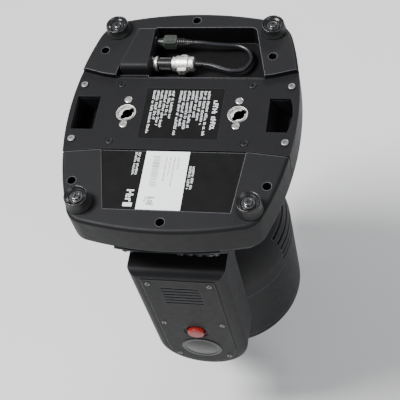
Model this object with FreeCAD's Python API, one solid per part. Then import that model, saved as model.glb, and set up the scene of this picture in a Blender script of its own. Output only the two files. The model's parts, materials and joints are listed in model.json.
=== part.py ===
import FreeCAD, Part
import math
import os

V = FreeCAD.Vector

# Compact LED moving head light, base up, head hanging down.
# Origin: centre of the clamp plate's outer face, midway between the two quarter-turn receptacles.
# +Z points away from the head, X runs across the base between its hand slots, Y from front to rear.
# All sizes in millimetres.

# ---- base -------------------------------------------------------------------------------------
HALF_X = 120.5
FRONT_Y = 143.0
REAR_Y = 131.0
SIDE_RADIUS = 330.0
FRONT_RADIUS = 367.0
REAR_RADIUS = 360.0
FRONT_CORNER_R = 22.0
REAR_CORNER_R = 36.0
FRONT_TOP = 2.0
REAR_TOP = 5.5
BREAK_Z = -35.0
BOTTOM_Z = -78.0
BOTTOM_INSET = 24.0
WALL = 2.8
RIM_FILLET = 4.0

PLATE_T = 3.0
BAND_FRONT_EDGE = [(78.0, 46.0), (140.0, 52.8)]
BAND_REAR_EDGE = [(80.0, 45.0), (92.0, 47.0), (140.0, 61.0)]
FRONT_GAP = 2.5
REAR_GAP = 0.6
SLOT = (102.3, -0.9, 25.0, 42.5)
RECEPTACLE_X = 58.8
RECEPTACLE_R = 10.75
RIVET_Y = 15.8
PLATE_SCREWS = [(110.5, 35.0), (70.0, 36.5)]
COVER_SCREW_WELLS = [(87.7, 71.0), (-95.0, 78.5), (98.5, -87.0), (-98.5, -87.0), (0.0, 120.5),
                     (0.0, -131.5)]
WELL_DEPTH = 14.0
FRONT_PANEL = [(-76, -45), (-60, -118.5), (67, -118.5), (74, -45)]
PANEL_DEPTH = 1.0
FOOT_X = 85.0
FRONT_FOOT_Y = -113.5
REAR_FOOT_Y = 106.0
FOOT_R = 13.2
FOOT_TOP = 16.5

BAY_FLOOR = -20.0
BAY_LEFT = -43.0
BAY_CORNERS = [(-43.0, 47.5), (81.5, 47.5), (66.0, 110.5), (-43.0, 110.5)]
BAY_CORNER_R = 7.0
HOOD_CORNERS = [(-75.0, 53.5), (-43.0, 53.5), (-43.0, 107.0), (-62.0, 107.0)]
HOOD_POCKET = [(-77.0, 50.0), (-43.0, 50.0), (-43.0, 109.0), (-62.5, 109.0)]
HOOD_HOLLOW = [(-70.0, 57.0), (-46.0, 57.0), (-46.0, 104.0), (-60.5, 104.0)]
HOOD_TOP = 8.5
HOOD_LIP_R = 5.5
UPPER_PLUG = (98.5, -5.0)
LOWER_PLUG = (71.0, -8.0)
UPPER_SOCKET_R = 7.0
LOWER_SOCKET_R = 9.0
UPPER_PLUG_STEPS = [(5.4, -41.9, -37.0), (6.4, -37.0, -24.0), (5.2, -24.0, -12.0), (3.4, -12.0, -5.0)]
LOWER_PLUG_STEPS = [(7.2, -41.9, -40.0), (8.2, -40.0, -37.5), (7.0, -37.5, -21.0), (7.8, -21.0, 1.0),
                    (3.6, 1.0, 4.0)]

DISPLAY_HALF = 47.0
BUTTON_X = [10.0, 19.5, 29.0, 38.5]
BUTTON_R = 3.6
SOCKET_X = [-51.0, -17.0, 17.0, 51.0]
SOCKET_R = 11.8
INFO_LABEL = (-40.2, 41.7, -32.0, 31.8)
RATING_LABEL = (-27.3, 17.4, -117.5, -49.0)
LABEL_T = 0.3

CHASSIS_FLOOR = -74.0
CHASSIS_T = 2.0
WEB_Y = 42.0

# ---- link lead --------------------------------------------------------------------------------
LEAD_RADIUS = 2.5
LEAD_ROUTE = [(-5, 98.5, -5), (6, 98.5, -5), (18, 97.8, -7), (31, 98.8, -9.5), (45, 100, -11.5),
              (56, 95.5, -12), (62, 86, -12.4), (61.5, 75.5, -12.4), (55, 66.5, -12), (43.5, 63.5, -11),
              (30, 66.5, -9.5), (16.5, 71, -8), (4, 71, -8)]

# ---- pan drive --------------------------------------------------------------------------------
SHAFT_R = 20.0
SHAFT_BORE_R = 13.0
BEARING_R = 26.0
BEARING_Z = (-77.0, -70.0)
PULLEY_Z = (-69.0, -58.0)
PAN_PULLEY_R = 38.0
MOTOR_PULLEY_R = 7.0
PAN_MOTOR_X = 62.0
SHELF_Z = (-56.0, -54.0)
MOTOR_SIDE = 42.0
PAN_LOCK_R = 44.0
LOCK_PIN_R = 3.0

# ---- yoke -------------------------------------------------------------------------------------
YOKE_TOP = -84.0
CROWN_BOTTOM = -122.0
ARM_HALF_X = 52.0
ARM_OUTER = 143.0
ARM_INNER = 100.0
FRAME_T = 4.0
FRAME_HALF_X = 38.0
CROSS_Z = (-96.0, -92.0)
INNER_COVER = (96.2, 99.7)
SKIN = 2.5

# ---- head: w is the distance from the tilt axis towards the lens --------------------------------
TILT_Z = -258.0
HEAD_R = 92.0
HEAD_WALL = 3.0
HEAD_FLAT = 88.0
HEAD_SPLIT = -4.0
FRONT_END = 90.0
RING_END = 104.0
TILT_SHAFT_R = 14.95
TILT_BORE_R = 15.0
TILT_PULLEY_R = 34.0
TILT_MOTOR_DROP = 88.0
LOCK_RING_R = 42.0
LOCK_STEP = 22.5
LENS_R = 78.7
ROD_R = 3.0
ROD_CIRCLE = 72.0
ROD_ANGLES = [35.0, 155.0, 275.0]
SCREW_X = -59.0
SCREW_Y = -41.3
ZOOM_W = (30.0, 36.0)


# ---- small tools --------------------------------------------------------------------------------
def box(x0, x1, y0, y1, z0, z1):
    return Part.makeBox(x1 - x0, y1 - y0, z1 - z0, V(x0, y0, z0))


def cyl(r, z0, z1, x=0.0, y=0.0):
    return Part.makeCylinder(r, z1 - z0, V(x, y, z0))


def cyl_y(r, y0, y1, x=0.0, z=TILT_Z):
    return Part.makeCylinder(r, y1 - y0, V(x, y0, z), V(0, 1, 0))


def cyl_x(r, x0, x1, y, z):
    return Part.makeCylinder(r, x1 - x0, V(x0, y, z), V(1, 0, 0))


def ring(r_out, r_in, z0, z1, x=0.0, y=0.0):
    return cyl(r_out, z0, z1, x, y).cut(cyl(r_in, z0 - 1, z1 + 1, x, y))


def fuse(shapes):
    whole = shapes[0]
    if len(shapes) > 1:
        whole = whole.fuse(shapes[1:])
    return whole.removeSplitter()


def cut(shape, tools):
    return shape.cut(tools) if tools else shape


def face_of(points):
    wire = Part.makePolygon([V(*p) for p in points] + [V(*points[0])])
    return Part.Face(wire)


def prism(points, z0, z1):
    return face_of([(x, y, z0) for x, y in points]).extrude(V(0, 0, z1 - z0))


def prism_y(points, y0, y1):
    return face_of([(x, y0, z) for x, z in points]).extrude(V(0, y1 - y0, 0))


def revolve_w(profile):
    """Turn a closed (radius, w) profile about the head's optical axis."""
    points = [(r, 0, TILT_Z - w) for r, w in profile]
    return face_of(points).revolve(V(0, 0, 0), V(0, 0, 1), 360)


def disc_w(r, w0, w1, x=0.0, y=0.0):
    return cyl(r, TILT_Z - w1, TILT_Z - w0, x, y)


def span(side, inner, outer):
    return (inner, outer) if side > 0 else (-outer, -inner)


def mirror_four(places):
    return [(sx * x, sy * y) for x, y in places for sx in (-1, 1) for sy in (-1, 1)]


def save(name, shapes):
    solids = [solid for shape in shapes for solid in shape.Solids]
    bad = [solid for solid in solids if not solid.isValid()]
    shape = solids[0] if len(solids) == 1 else Part.makeCompound(solids)
    shape.exportStep("parts/%s.step" % name)
    print("%-22s solids %2d  volume %9.0f%s" % (name, len(solids), shape.Volume, "  INVALID" if bad else ""))


# ---- base outline ---------------------------------------------------------------------------------
def outline_prism(inset, z0, z1):
    """The base's plan view, four shallow arcs with rounded corners, as a prism."""
    sides = []
    for sign in (-1, 1):
        sides.append(cyl(SIDE_RADIUS - inset, z0, z1, sign * (HALF_X - SIDE_RADIUS), 0))
    sides.append(cyl(FRONT_RADIUS - inset, z0, z1, 0, FRONT_RADIUS - FRONT_Y))
    sides.append(cyl(REAR_RADIUS - inset, z0, z1, 0, REAR_Y - REAR_RADIUS))
    block = sides[0].common(sides[1]).common(sides[2]).common(sides[3])
    corners = [e for e in block.Edges if len(e.Vertexes) == 2
               and abs(e.Vertexes[0].Point.z - e.Vertexes[1].Point.z) > 0.5 * (z1 - z0)
               and abs(e.Vertexes[0].Point.y) > 60]
    front = [e for e in corners if e.Vertexes[0].Point.y < 0]
    rear = [e for e in corners if e.Vertexes[0].Point.y > 0]
    block = block.makeFillet(max(FRONT_CORNER_R - inset, 3.0), front)
    rear = [e for e in block.Edges if any(e.CenterOfMass.isEqual(r.CenterOfMass, 0.01) for r in rear)]
    return block.makeFillet(REAR_CORNER_R - inset, rear)


def outline_wire(inset, z):
    block = outline_prism(inset, z, z + 1.0)
    floor = min(block.Faces, key=lambda f: f.CenterOfMass.z)
    return floor.OuterWire


def inset_at(z):
    return BOTTOM_INSET * max(0.0, (BREAK_Z - z) / (BREAK_Z - BOTTOM_Z))


def base_body(inset, top, bottom, rim=0.0):
    """Upright wall down to the break line, then a wall that tucks under to the pan side."""
    upper = outline_prism(inset, BREAK_Z, top)
    if rim:
        edges = [e for e in upper.Edges if e.BoundBox.ZMin > top - 0.01]
        upper = upper.makeFillet(rim, edges)
    lower = Part.makeLoft([outline_wire(inset, BREAK_Z), outline_wire(inset + inset_at(bottom), bottom)], True, True)
    return upper.fuse(lower)


def band_region(gap, z0, z1):
    """The strip that the clamp plate fills; its edges swing out gently towards the ends."""
    rear = [(x, y + gap) for x, y in BAND_REAR_EDGE]
    front = [(x, -y - gap) for x, y in BAND_FRONT_EDGE]
    right = rear + front[::-1]
    left = [(-x, y) for x, y in right]
    return prism(right + left[::-1], z0, z1)


def front_region(gap, z0, z1):
    whole = box(-150, 150, -160, 0, z0, z1)
    return whole.cut(band_region(gap, z0 - 1, z1 + 1))


def rear_region(gap, z0, z1):
    whole = box(-150, 150, 0, 160, z0, z1)
    return whole.cut(band_region(gap, z0 - 1, z1 + 1))


def wells(places, top):
    posts = [cyl(6.5, top - WELL_DEPTH - 2.0, top - 0.5, x, y) for x, y in places]
    holes = [cyl(4.5, top - WELL_DEPTH, top + 2.0, x, y) for x, y in places]
    holes += [cyl(2.1, top - WELL_DEPTH - 4.0, top, x, y) for x, y in places]
    return posts, holes


def moulded_cover(region, top, gap):
    """A moulded cover: skin over the base plus a lip along the clamp plate."""
    outer = base_body(0.0, top, BREAK_Z - 2.0, RIM_FILLET)
    outer = outer.common(region(gap, BREAK_Z, top + 1))
    inner = base_body(WALL, top - WALL, BREAK_Z - 2.0)
    inner = inner.common(region(gap + WALL, BREAK_Z - 1, top))
    lip_cut = region(gap - 1, BREAK_Z - 1, -12.0).cut(region(gap + WALL + 0.01, BREAK_Z - 1, -12.0))
    lip_cut = lip_cut.common(outline_prism(WALL, BREAK_Z - 1, -12.0))
    return outer.cut([inner, lip_cut])


def front_base_cover():
    cover = moulded_cover(front_region, FRONT_TOP, FRONT_GAP)
    places = [p for p in COVER_SCREW_WELLS if p[1] < 0]
    posts, holes = wells(places, FRONT_TOP)
    panel = prism(FRONT_PANEL, FRONT_TOP - PANEL_DEPTH, FRONT_TOP + 1)
    foot_holes = [cyl(2.6, -20, 10, sx * FOOT_X, FRONT_FOOT_Y) for sx in (-1, 1)]
    return cut(fuse([cover] + posts), holes + [panel] + foot_holes)


def offset_polygon(points, gap, z0, z1):
    wire = Part.makePolygon([V(x, y, z0) for x, y in points] + [V(points[0][0], points[0][1], z0)])
    grown = wire.makeOffset2D(gap, 2) if gap else wire
    return Part.Face(grown).extrude(V(0, 0, z1 - z0))


def rounded_corner(block, x, y, radius):
    """Round the upright edges of a prism that stand near a place."""
    edges = [e for e in block.Edges if e.BoundBox.ZLength > 1 and abs(e.CenterOfMass.x - x) < 5
             and abs(e.CenterOfMass.y - y) < 5]
    return block.makeFillet(radius, edges)


def rear_base_cover():
    """The cover with the connector bay; the hood stands in a narrower part of the same pocket."""
    cover = moulded_cover(rear_region, REAR_TOP, REAR_GAP)
    places = [p for p in COVER_SCREW_WELLS if p[1] > 0]
    posts, holes = wells(places, REAR_TOP)
    far_x, far_y = BAY_CORNERS[2]
    tray = offset_polygon(BAY_CORNERS, 2.2, BAY_FLOOR - 2.5, REAR_TOP - 1.0)
    tray = rounded_corner(tray, far_x + 2, far_y + 2, BAY_CORNER_R + 2.2)
    pocket = rounded_corner(prism(BAY_CORNERS, BAY_FLOOR, REAR_TOP + 5.0), far_x, far_y, BAY_CORNER_R)
    hood_tray = offset_polygon(HOOD_POCKET, 2.2, BAY_FLOOR - 2.5, REAR_TOP - 1.0)
    limit = rear_region(REAR_GAP, BAY_FLOOR - 5.0, REAR_TOP + 1.0)
    trays = [tray.common(limit), hood_tray.common(limit)]
    pockets = [pocket, prism(HOOD_POCKET, BAY_FLOOR, REAR_TOP + 5.0)]
    low_front = box(HOOD_POCKET[0][0], BAY_CORNERS[1][0], 45.0, 50.5, -1.0, REAR_TOP + 1.0)
    foot_holes = [cyl(2.6, -20, 10, sx * FOOT_X, REAR_FOOT_Y) for sx in (-1, 1)]
    return cut(fuse([cover] + posts + trays), holes + pockets + [low_front] + foot_holes)


def pan_side_cover():
    """The lower housing: it tucks under towards the yoke and closes the base's sides below the plate."""
    outer = base_body(0.0, -PLATE_T - 0.3, BOTTOM_Z)
    keep = box(-150, 150, -160, 160, BOTTOM_Z - 1, BREAK_Z - 0.4)
    keep = keep.fuse(band_region(0.2, BREAK_Z - 1, 0))
    inner = base_body(WALL, 1.0, BOTTOM_Z + WALL)
    shell = outer.common(keep).cut(inner)
    pads = [end_pad(side).common(base_body(-3.0, -5.0, BOTTOM_Z)) for side in (-1, 1)]
    openings = [cyl(34.0, BOTTOM_Z - 1, BOTTOM_Z + 6)]
    openings += [cyl(LOCK_PIN_R + 0.8, BOTTOM_Z - 1, BOTTOM_Z + 6, PAN_LOCK_R * math.cos(a), PAN_LOCK_R * math.sin(a))
                 for a in [math.radians(90 * k) for k in range(4)]]
    openings += [display_pocket()] + [socket_hole(k) for k in range(4)]
    return cut(fuse([shell] + pads), openings)


# ---- the two sloping ends of the lower housing ------------------------------------------------------
def facet(side, x, along, depth):
    """A point on the sloping end face: x across, along down the slope from its middle, depth inwards."""
    edge = FRONT_Y if side < 0 else REAR_Y
    length = math.hypot(BOTTOM_INSET, BREAK_Z - BOTTOM_Z)
    run = BOTTOM_INSET / length
    drop = (BREAK_Z - BOTTOM_Z) / length
    y = edge - 0.5 * BOTTOM_INSET - along * run - depth * drop
    z = 0.5 * (BREAK_Z + BOTTOM_Z) - along * drop + depth * run
    return V(x, side * y, z)


def facet_normal(side):
    return (facet(side, 0, 0, 0) - facet(side, 0, 0, 1)).normalize()


def facet_slab(side, x0, x1, a0, a1, d0, d1):
    """A block between two depths, bounded across and along the sloping end face."""
    corners = [facet(side, x0, a0, d0), facet(side, x0, a1, d0), facet(side, x0, a1, d1), facet(side, x0, a0, d1)]
    return Part.Face(Part.makePolygon(corners + corners[:1])).extrude(V(x1 - x0, 0, 0))


def facet_pin(side, x, along, r, d0, d1):
    start = facet(side, x, along, d1)
    return Part.makeCylinder(r, d1 - d0, start, facet_normal(side))


def end_pad(side):
    half = 54.0 if side < 0 else 70.0
    return facet_slab(side, -half, half, -20.0, 18.0, -0.6, 6.0)


def display_pocket():
    return facet_slab(-1, -DISPLAY_HALF - 0.3, DISPLAY_HALF + 0.3, -15.3, 13.3, -2.0, 8.0)


def display_panel():
    panel = facet_slab(-1, -DISPLAY_HALF, DISPLAY_HALF, -15.0, 13.0, -1.4, 5.0)
    recess = facet_slab(-1, -41.0, 1.0, -12.0, 10.0, -3.0, -0.4)
    cavity = facet_slab(-1, 3.0, DISPLAY_HALF - 2.0, -10.0, 10.0, 1.6, 6.0)
    holes = [facet_pin(-1, x, 0.0, BUTTON_R + 0.3, -3.0, 7.0) for x in BUTTON_X]
    return cut(panel, [recess, cavity] + holes)


def menu_button(x):
    cap = facet_pin(-1, x, 0.0, BUTTON_R, -3.0, 4.0)
    flange = facet_pin(-1, x, 0.0, BUTTON_R + 0.8, 2.2, 3.4)
    return fuse([cap, flange])


def socket_hole(k):
    return facet_pin(1, SOCKET_X[k], 0.0, SOCKET_R + 0.2, -3.0, 9.0)


def panel_socket(k, bore_r, key):
    """A chassis socket: square flange, round body behind it, a keyed blind bore in front and three pins."""
    x = SOCKET_X[k]
    flange = facet_slab(1, x - 13.0, x + 13.0, -15.5, 15.5, -2.6, -0.6)
    body = facet_pin(1, x, 0.0, SOCKET_R, -1.0, 18.0)
    bore = facet_pin(1, x, 0.0, bore_r, -4.0, 13.0)
    pins = [facet_pin(1, x + 4.0 * math.cos(a), 4.0 * math.sin(a), 1.1, 5.0, 13.0)
            for a in [math.radians(90 + 120 * n) for n in range(3)]]
    block = facet_slab(1, x - 1.5, x + 1.5, key - 1.5, key + 1.5, 0.0, 13.5)
    return [fuse([fuse([flange, body]).cut(bore), block])] + pins


def power_sockets():
    return panel_socket(0, 10.2, 9.3) + panel_socket(1, 10.2, 9.3)


def data_sockets():
    return panel_socket(2, 9.2, -8.3) + panel_socket(3, 9.2, -8.3)


# ---- clamp plate and what is fixed to it --------------------------------------------------------------
def hand_slot(side, z0, z1):
    cx, cy, width, height = SLOT
    slot = box(side * cx - width / 2, side * cx + width / 2, cy - height / 2, cy + height / 2, z0, z1)
    outer = cyl(60.0, z0, z1, side * (cx + width / 2 - 60.0), cy)
    inner = box(side * cx - width / 2, side * cx + width / 2 - side * 8, cy - height / 2, cy + height / 2, z0, z1)
    return slot.common(outer).fuse(inner.common(slot)).removeSplitter()


def clamp_plate():
    plate = outline_prism(0.0, -PLATE_T, 0.0).common(band_region(0.0, -PLATE_T - 1, 1))
    holes = [hand_slot(side, -PLATE_T - 1, 1) for side in (-1, 1)]
    holes += [cyl(RECEPTACLE_R, -PLATE_T - 1, 1, side * RECEPTACLE_X, 0) for side in (-1, 1)]
    holes += [cyl(2.1, -PLATE_T - 1, 1, x, y) for x, y in mirror_four(PLATE_SCREWS)]
    holes += [cyl(4.4, -1.2, 1, x, y) for x, y in mirror_four(PLATE_SCREWS[1:])]
    holes += [cyl(2.1, -PLATE_T - 1, 1, sx * RECEPTACLE_X, sy * RIVET_Y) for sx in (-1, 1) for sy in (-1, 1)]
    x0, x1, y0, y1 = INFO_LABEL
    holes.append(box(x0 - 0.2, x1 + 0.2, y0 - 0.2, y1 + 0.2, -LABEL_T, 1))
    return cut(plate, holes)


def info_label():
    return box(*INFO_LABEL, -LABEL_T, 0.0)


def rating_label():
    panel = FRONT_TOP - PANEL_DEPTH
    return box(*RATING_LABEL, panel, panel + LABEL_T)


def cam_receptacle(side):
    """Quarter-turn receptacle: spring plate under the clamp plate with a keyhole slot and a cup."""
    x = side * RECEPTACLE_X
    plate = box(x - 13.0, x + 13.0, -20.0, 20.0, -PLATE_T - 2.0, -PLATE_T)
    cup = cyl(12.0, -16.0, -PLATE_T - 2.0, x, 0).cut(cyl(10.5, -14.5, -PLATE_T, x, 0))
    slot = box(-7.5, 7.5, -2.2, 2.2, -PLATE_T - 3.0, 1)
    slot.rotate(V(0, 0, 0), V(0, 0, 1), 45)
    slot.translate(V(x, 0, 0))
    holes = [cyl(4.2, -PLATE_T - 3.0, 1, x, 0), slot]
    holes += [cyl(2.1, -PLATE_T - 3.0, 1, x, sy * RIVET_Y) for sy in (-1, 1)]
    return cut(fuse([plate, cup]), holes)


def rivet(x, y):
    head = cyl(4.3, 0.0, 1.6, x, y)
    head = head.makeFillet(1.2, [e for e in head.Edges if e.BoundBox.ZMin > 1.5])
    shank = cyl(2.0, -PLATE_T - 2.0, 0.0, x, y)
    tail = cyl(3.2, -PLATE_T - 3.2, -PLATE_T - 2.0, x, y)
    return fuse([head, shank, tail])


def pan_head_screw(x, y, z, head_r, head_h, shank_r, length):
    head = cyl(head_r, z, z + head_h, x, y)
    head = head.makeFillet(0.45 * head_h, [e for e in head.Edges if e.BoundBox.ZMin > z + head_h - 0.1])
    cross = [box(x - 2.0, x + 2.0, y - 0.45, y + 0.45, z + head_h - 1.2, z + head_h + 1),
             box(x - 0.45, x + 0.45, y - 2.0, y + 2.0, z + head_h - 1.2, z + head_h + 1)]
    shank = cyl(shank_r, z - length, z, x, y)
    return cut(fuse([head, shank]), cross)


def case_screws():
    outer = [pan_head_screw(x, y, 0.0, 3.9, 2.2, 2.0, 8.0) for x, y in mirror_four(PLATE_SCREWS[:1])]
    sunk = [pan_head_screw(x, y, -1.2, 3.9, 1.8, 2.0, 6.5) for x, y in mirror_four(PLATE_SCREWS[1:])]
    deep = []
    for x, y in COVER_SCREW_WELLS:
        top = FRONT_TOP if y < 0 else REAR_TOP
        deep.append(pan_head_screw(x, y, top - WELL_DEPTH, 3.6, 2.2, 2.0, 8.0))
    return outer + sunk + deep


def hand_cup(side):
    """The pocket behind a hand slot; its inner wall slopes so that fingers roll in."""
    cx, cy, width, height = SLOT
    outer = [(cx - width / 2 - 2.0, -PLATE_T), (cx + width / 2 + 1.8, -PLATE_T), (cx + width / 2 + 1.8, -34.0),
             (cx + 4.0, -34.0), (cx - width / 2 - 2.0, -13.0)]
    inner = [(cx - width / 2, -PLATE_T + 1), (cx + width / 2 - 0.2, -PLATE_T + 1), (cx + width / 2 - 0.2, -32.0),
             (cx + 5.0, -32.0), (cx - width / 2, -12.0)]
    outer_block = prism_y([(side * x, z) for x, z in outer], cy - height / 2 - 2.0, cy + height / 2 + 2.0)
    inner_block = prism_y([(side * x, z) for x, z in inner], cy - height / 2, cy + height / 2)
    return outer_block.cut(inner_block)


def foot_base(y):
    return FRONT_TOP if y < 0 else REAR_TOP


def rubber_foot(x, y):
    z0 = foot_base(y)
    foot = Part.makeCone(FOOT_R, FOOT_R - 1.6, FOOT_TOP - z0, V(x, y, z0))
    foot = foot.makeFillet(1.5, [e for e in foot.Edges if e.BoundBox.ZMin > FOOT_TOP - 0.1])
    return cut(foot, [cyl(7.2, FOOT_TOP - 4.0, FOOT_TOP + 1, x, y), cyl(2.6, z0 - 1, FOOT_TOP, x, y)])


def foot_screw(x, y):
    z = FOOT_TOP - 4.0
    washer = cyl(6.6, z, z + 1.0, x, y)
    screw = pan_head_screw(x, y, z + 1.0, 4.4, 2.4, 2.45, z + 1.0 - foot_base(y) + 9.0)
    return fuse([washer, screw])


# ---- connector bay --------------------------------------------------------------------------------
def socket_hood():
    """The moulded block that holds the two bay sockets; its front lip is well rounded."""
    base = offset_polygon(HOOD_CORNERS, -0.25, BAY_FLOOR + 0.05, HOOD_TOP)
    front = HOOD_CORNERS[0][1]
    lip = [e for e in base.Edges if abs(e.CenterOfMass.z - HOOD_TOP) < 0.1 and abs(e.CenterOfMass.y - front) < 1.0]
    hood = base.makeFillet(HOOD_LIP_R, lip)
    hollow = prism(HOOD_HOLLOW, BAY_FLOOR - 1, HOOD_TOP - 2.5)
    holes = [cyl_x(r + 0.2, -58, -40, y, z)
             for r, (y, z) in ((UPPER_SOCKET_R, UPPER_PLUG), (LOWER_SOCKET_R, LOWER_PLUG))]
    return cut(hood, [hollow] + holes)


def link_socket(r, plug):
    y, z = plug
    body = cyl_x(r, BAY_LEFT - 12.0, BAY_LEFT + 0.8, y, z)
    bore = cyl_x(r - 1.7, BAY_LEFT - 9.0, BAY_LEFT + 2.0, y, z)
    reach = 0.4 * r
    pins = [cyl_x(0.9, BAY_LEFT - 9.5, BAY_LEFT - 1.0, y + reach * math.cos(a), z + reach * math.sin(a))
            for a in [math.radians(90 + 120 * n) for n in range(3)]]
    return fuse([body.cut(bore)] + pins)


def link_plug(plug, steps):
    """A round cable plug built up from (radius, x0, x1) steps along X."""
    y, z = plug
    return fuse([cyl_x(r, x0, x1, y, z) for r, x0, x1 in steps])


def link_plug_upper():
    return link_plug(UPPER_PLUG, UPPER_PLUG_STEPS)


def link_plug_lower():
    """The larger plug; a release tab stands out on its front side."""
    y, z = LOWER_PLUG
    tab = box(-11.0, -1.0, y - 10.6, y - 5.0, z - 2.4, z + 2.4)
    return fuse([link_plug(LOWER_PLUG, LOWER_PLUG_STEPS), tab])


def lead_tube():
    """Straight runs joined by tangent arcs through the route's points."""
    points = [V(*p) for p in LEAD_ROUTE]
    edges = []
    start = points[0]
    radii = []
    for before, corner, after in zip(points, points[1:], points[2:]):
        back = (before - corner).normalize()
        ahead = (after - corner).normalize()
        half_turn = 0.5 * (math.pi - back.getAngle(ahead))
        reach = 0.45 * min((before - corner).Length, (after - corner).Length)
        radii.append(reach / math.tan(half_turn))
        arc_start = corner + back * reach
        arc_end = corner + ahead * reach
        middle_dir = (back + ahead).normalize()
        sagitta = radii[-1] / math.cos(half_turn) - radii[-1]
        edges.append(Part.LineSegment(start, arc_start).toShape())
        edges.append(Part.Arc(arc_start, corner + middle_dir * sagitta, arc_end).toShape())
        start = arc_end
    edges.append(Part.LineSegment(start, points[-1]).toShape())
    wire = Part.Wire(edges)
    direction = (points[1] - points[0]).normalize()
    circle = Part.Wire([Part.Circle(points[0], direction, LEAD_RADIUS).toShape()])
    tube = wire.makePipeShell([circle], True, False)
    expected = math.pi * LEAD_RADIUS ** 2 * wire.Length
    print("lead length %.1f, radii %s" % (wire.Length, " ".join("%.0f" % r for r in radii)))
    print("lead volume over section times length %.4f" % (tube.Volume / expected))
    return tube


# ---- base: chassis, drives and electronics --------------------------------------------------------------
def base_chassis():
    """Bent and spot-welded steel: floor with the bearing seat, two webs up to the plate, motor shelf."""
    floor = prism([(-80, -84), (-64, -100), (64, -100), (80, -84), (80, 78), (62, 94), (-62, 94), (-80, 78)],
                  CHASSIS_FLOOR, CHASSIS_FLOOR + CHASSIS_T)
    web = [(-88, CHASSIS_FLOOR), (88, CHASSIS_FLOOR), (111, -34), (113, -PLATE_T), (-113, -PLATE_T), (-111, -34)]
    pieces = [floor, ring(BEARING_R + 4.0, BEARING_R, BEARING_Z[0], BEARING_Z[1])]
    for side in (-1, 1):
        y0, y1 = span(side, WEB_Y, WEB_Y + CHASSIS_T)
        pieces.append(prism_y(web, y0, y1))
        y0, y1 = span(side, 29.0, WEB_Y + CHASSIS_T)
        pieces.append(box(-113, 113, y0, y1, -PLATE_T - CHASSIS_T, -PLATE_T))
    pieces.append(box(38, 88, -WEB_Y - 1, WEB_Y + 1, SHELF_Z[0], SHELF_Z[1]))
    holes = [cyl(BEARING_R, -80, -68), cyl(11.2, -58, -52, PAN_MOTOR_X, 0)]
    holes += [cyl(2.1, -10, 0, x, y) for x, y in mirror_four(PLATE_SCREWS)]
    holes += [cyl(LOCK_PIN_R + 1.2, -76, -70, PAN_LOCK_R * math.cos(a), PAN_LOCK_R * math.sin(a))
              for a in [math.radians(90 * k) for k in range(4)]]
    return cut(fuse(pieces), holes)


def power_supply():
    """A slotted sheet case on a thicker mounting base, with two transformers inside."""
    case = box(-70, 70, -99, -46, -72, -38).cut(box(-68.5, 68.5, -97.5, -47.5, -69, -39.5))
    slots = [box(-62 + 9 * k, -58 + 9 * k, -92, -54, -40, -37) for k in range(14)]
    blocks = [box(-50, -22, -86, -58, -70, -46), box(16, 44, -86, -58, -70, -46)]
    return fuse([cut(case, slots)] + blocks)


def control_board():
    board = box(-72, 72, 48, 96, -64, -62.4)
    standoffs = [cyl(3.0, -72, -64, sx * 64, y) for sx in (-1, 1) for y in (54, 90)]
    chips = [box(-50, -26, 58, 76, -62.4, -58.0), box(10, 34, 60, 84, -62.4, -59.5)]
    chips.append(box(44, 62, 54, 70, -62.4, -50.0))
    return fuse([board] + standoffs + chips)


def pan_motor():
    half = MOTOR_SIDE / 2
    body = box(PAN_MOTOR_X - half, PAN_MOTOR_X + half, -half, half, SHELF_Z[1], -21.0)
    body = body.makeChamfer(3.0, [e for e in body.Edges if e.BoundBox.ZLength > 20])
    boss = cyl(11.0, SHELF_Z[0], SHELF_Z[1], PAN_MOTOR_X, 0)
    return fuse([body, boss]).cut(cyl(2.55, SHELF_Z[0] - 1, -40, PAN_MOTOR_X, 0))


def toothed_pulley(r, flange_r, z0, z1, bore_r, teeth):
    """A timing pulley along Z: grooved belt track between two flanges."""
    track = cyl(r, z0 + 1.0, z1 - 1.0)
    grooves = []
    for k in range(teeth):
        a = 2 * math.pi * k / teeth
        grooves.append(cyl(0.8, z0 + 1.0, z1 - 1.0, r * math.cos(a), r * math.sin(a)))
    flanges = [cyl(flange_r, z0, z0 + 1.0), cyl(flange_r, z1 - 1.0, z1)]
    body = fuse([track.cut(grooves)] + flanges)
    return body.cut(cyl(bore_r, z0 - 1, z1 + 1)) if bore_r else body


def pan_motor_pulley():
    pulley = toothed_pulley(MOTOR_PULLEY_R, 9.0, PULLEY_Z[0], PULLEY_Z[1], 0, 14)
    shaft = cyl(2.5, PULLEY_Z[0] + 1, -41.0)
    whole = fuse([pulley, shaft])
    whole.translate(V(PAN_MOTOR_X, 0, 0))
    return whole


def belt_hull(r1, r2, distance, z0, z1):
    angle = math.acos((r1 - r2) / distance)
    c, s = math.cos(angle), math.sin(angle)
    far_x = distance + r2 * c
    sides = prism([(r1 * c, r1 * s), (r1 * c, -r1 * s), (far_x, -r2 * s), (far_x, r2 * s)], z0, z1)
    return cyl(r1, z0, z1).fuse([cyl(r2, z0, z1, distance, 0), sides]).removeSplitter()


def belt_loop(r1, r2, distance, z0, z1):
    outer = belt_hull(r1 + 1.9, r2 + 1.9, distance, z0, z1)
    return outer.cut(belt_hull(r1 + 0.4, r2 + 0.4, distance, z0 - 1, z1 + 1))


def pan_belt():
    return belt_loop(PAN_PULLEY_R, MOTOR_PULLEY_R, PAN_MOTOR_X, PULLEY_Z[0] + 1.8, PULLEY_Z[1] - 1.8)


def pan_pulley():
    return toothed_pulley(PAN_PULLEY_R, 40.4, PULLEY_Z[0], PULLEY_Z[1], SHAFT_R, 76)


def pan_shaft():
    """Hollow shaft with a shoulder under the bearing and a flange bolted to the yoke frame."""
    tube = cyl(SHAFT_R, CROSS_Z[1], -54.0)
    shoulder = cyl(24.0, CROSS_Z[1], BEARING_Z[0] - 0.5)
    flange = cyl(36.0, CROSS_Z[1], CROSS_Z[1] + 4.0)
    return fuse([tube, shoulder, flange]).cut(cyl(SHAFT_BORE_R, CROSS_Z[1] - 1, -50))


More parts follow.
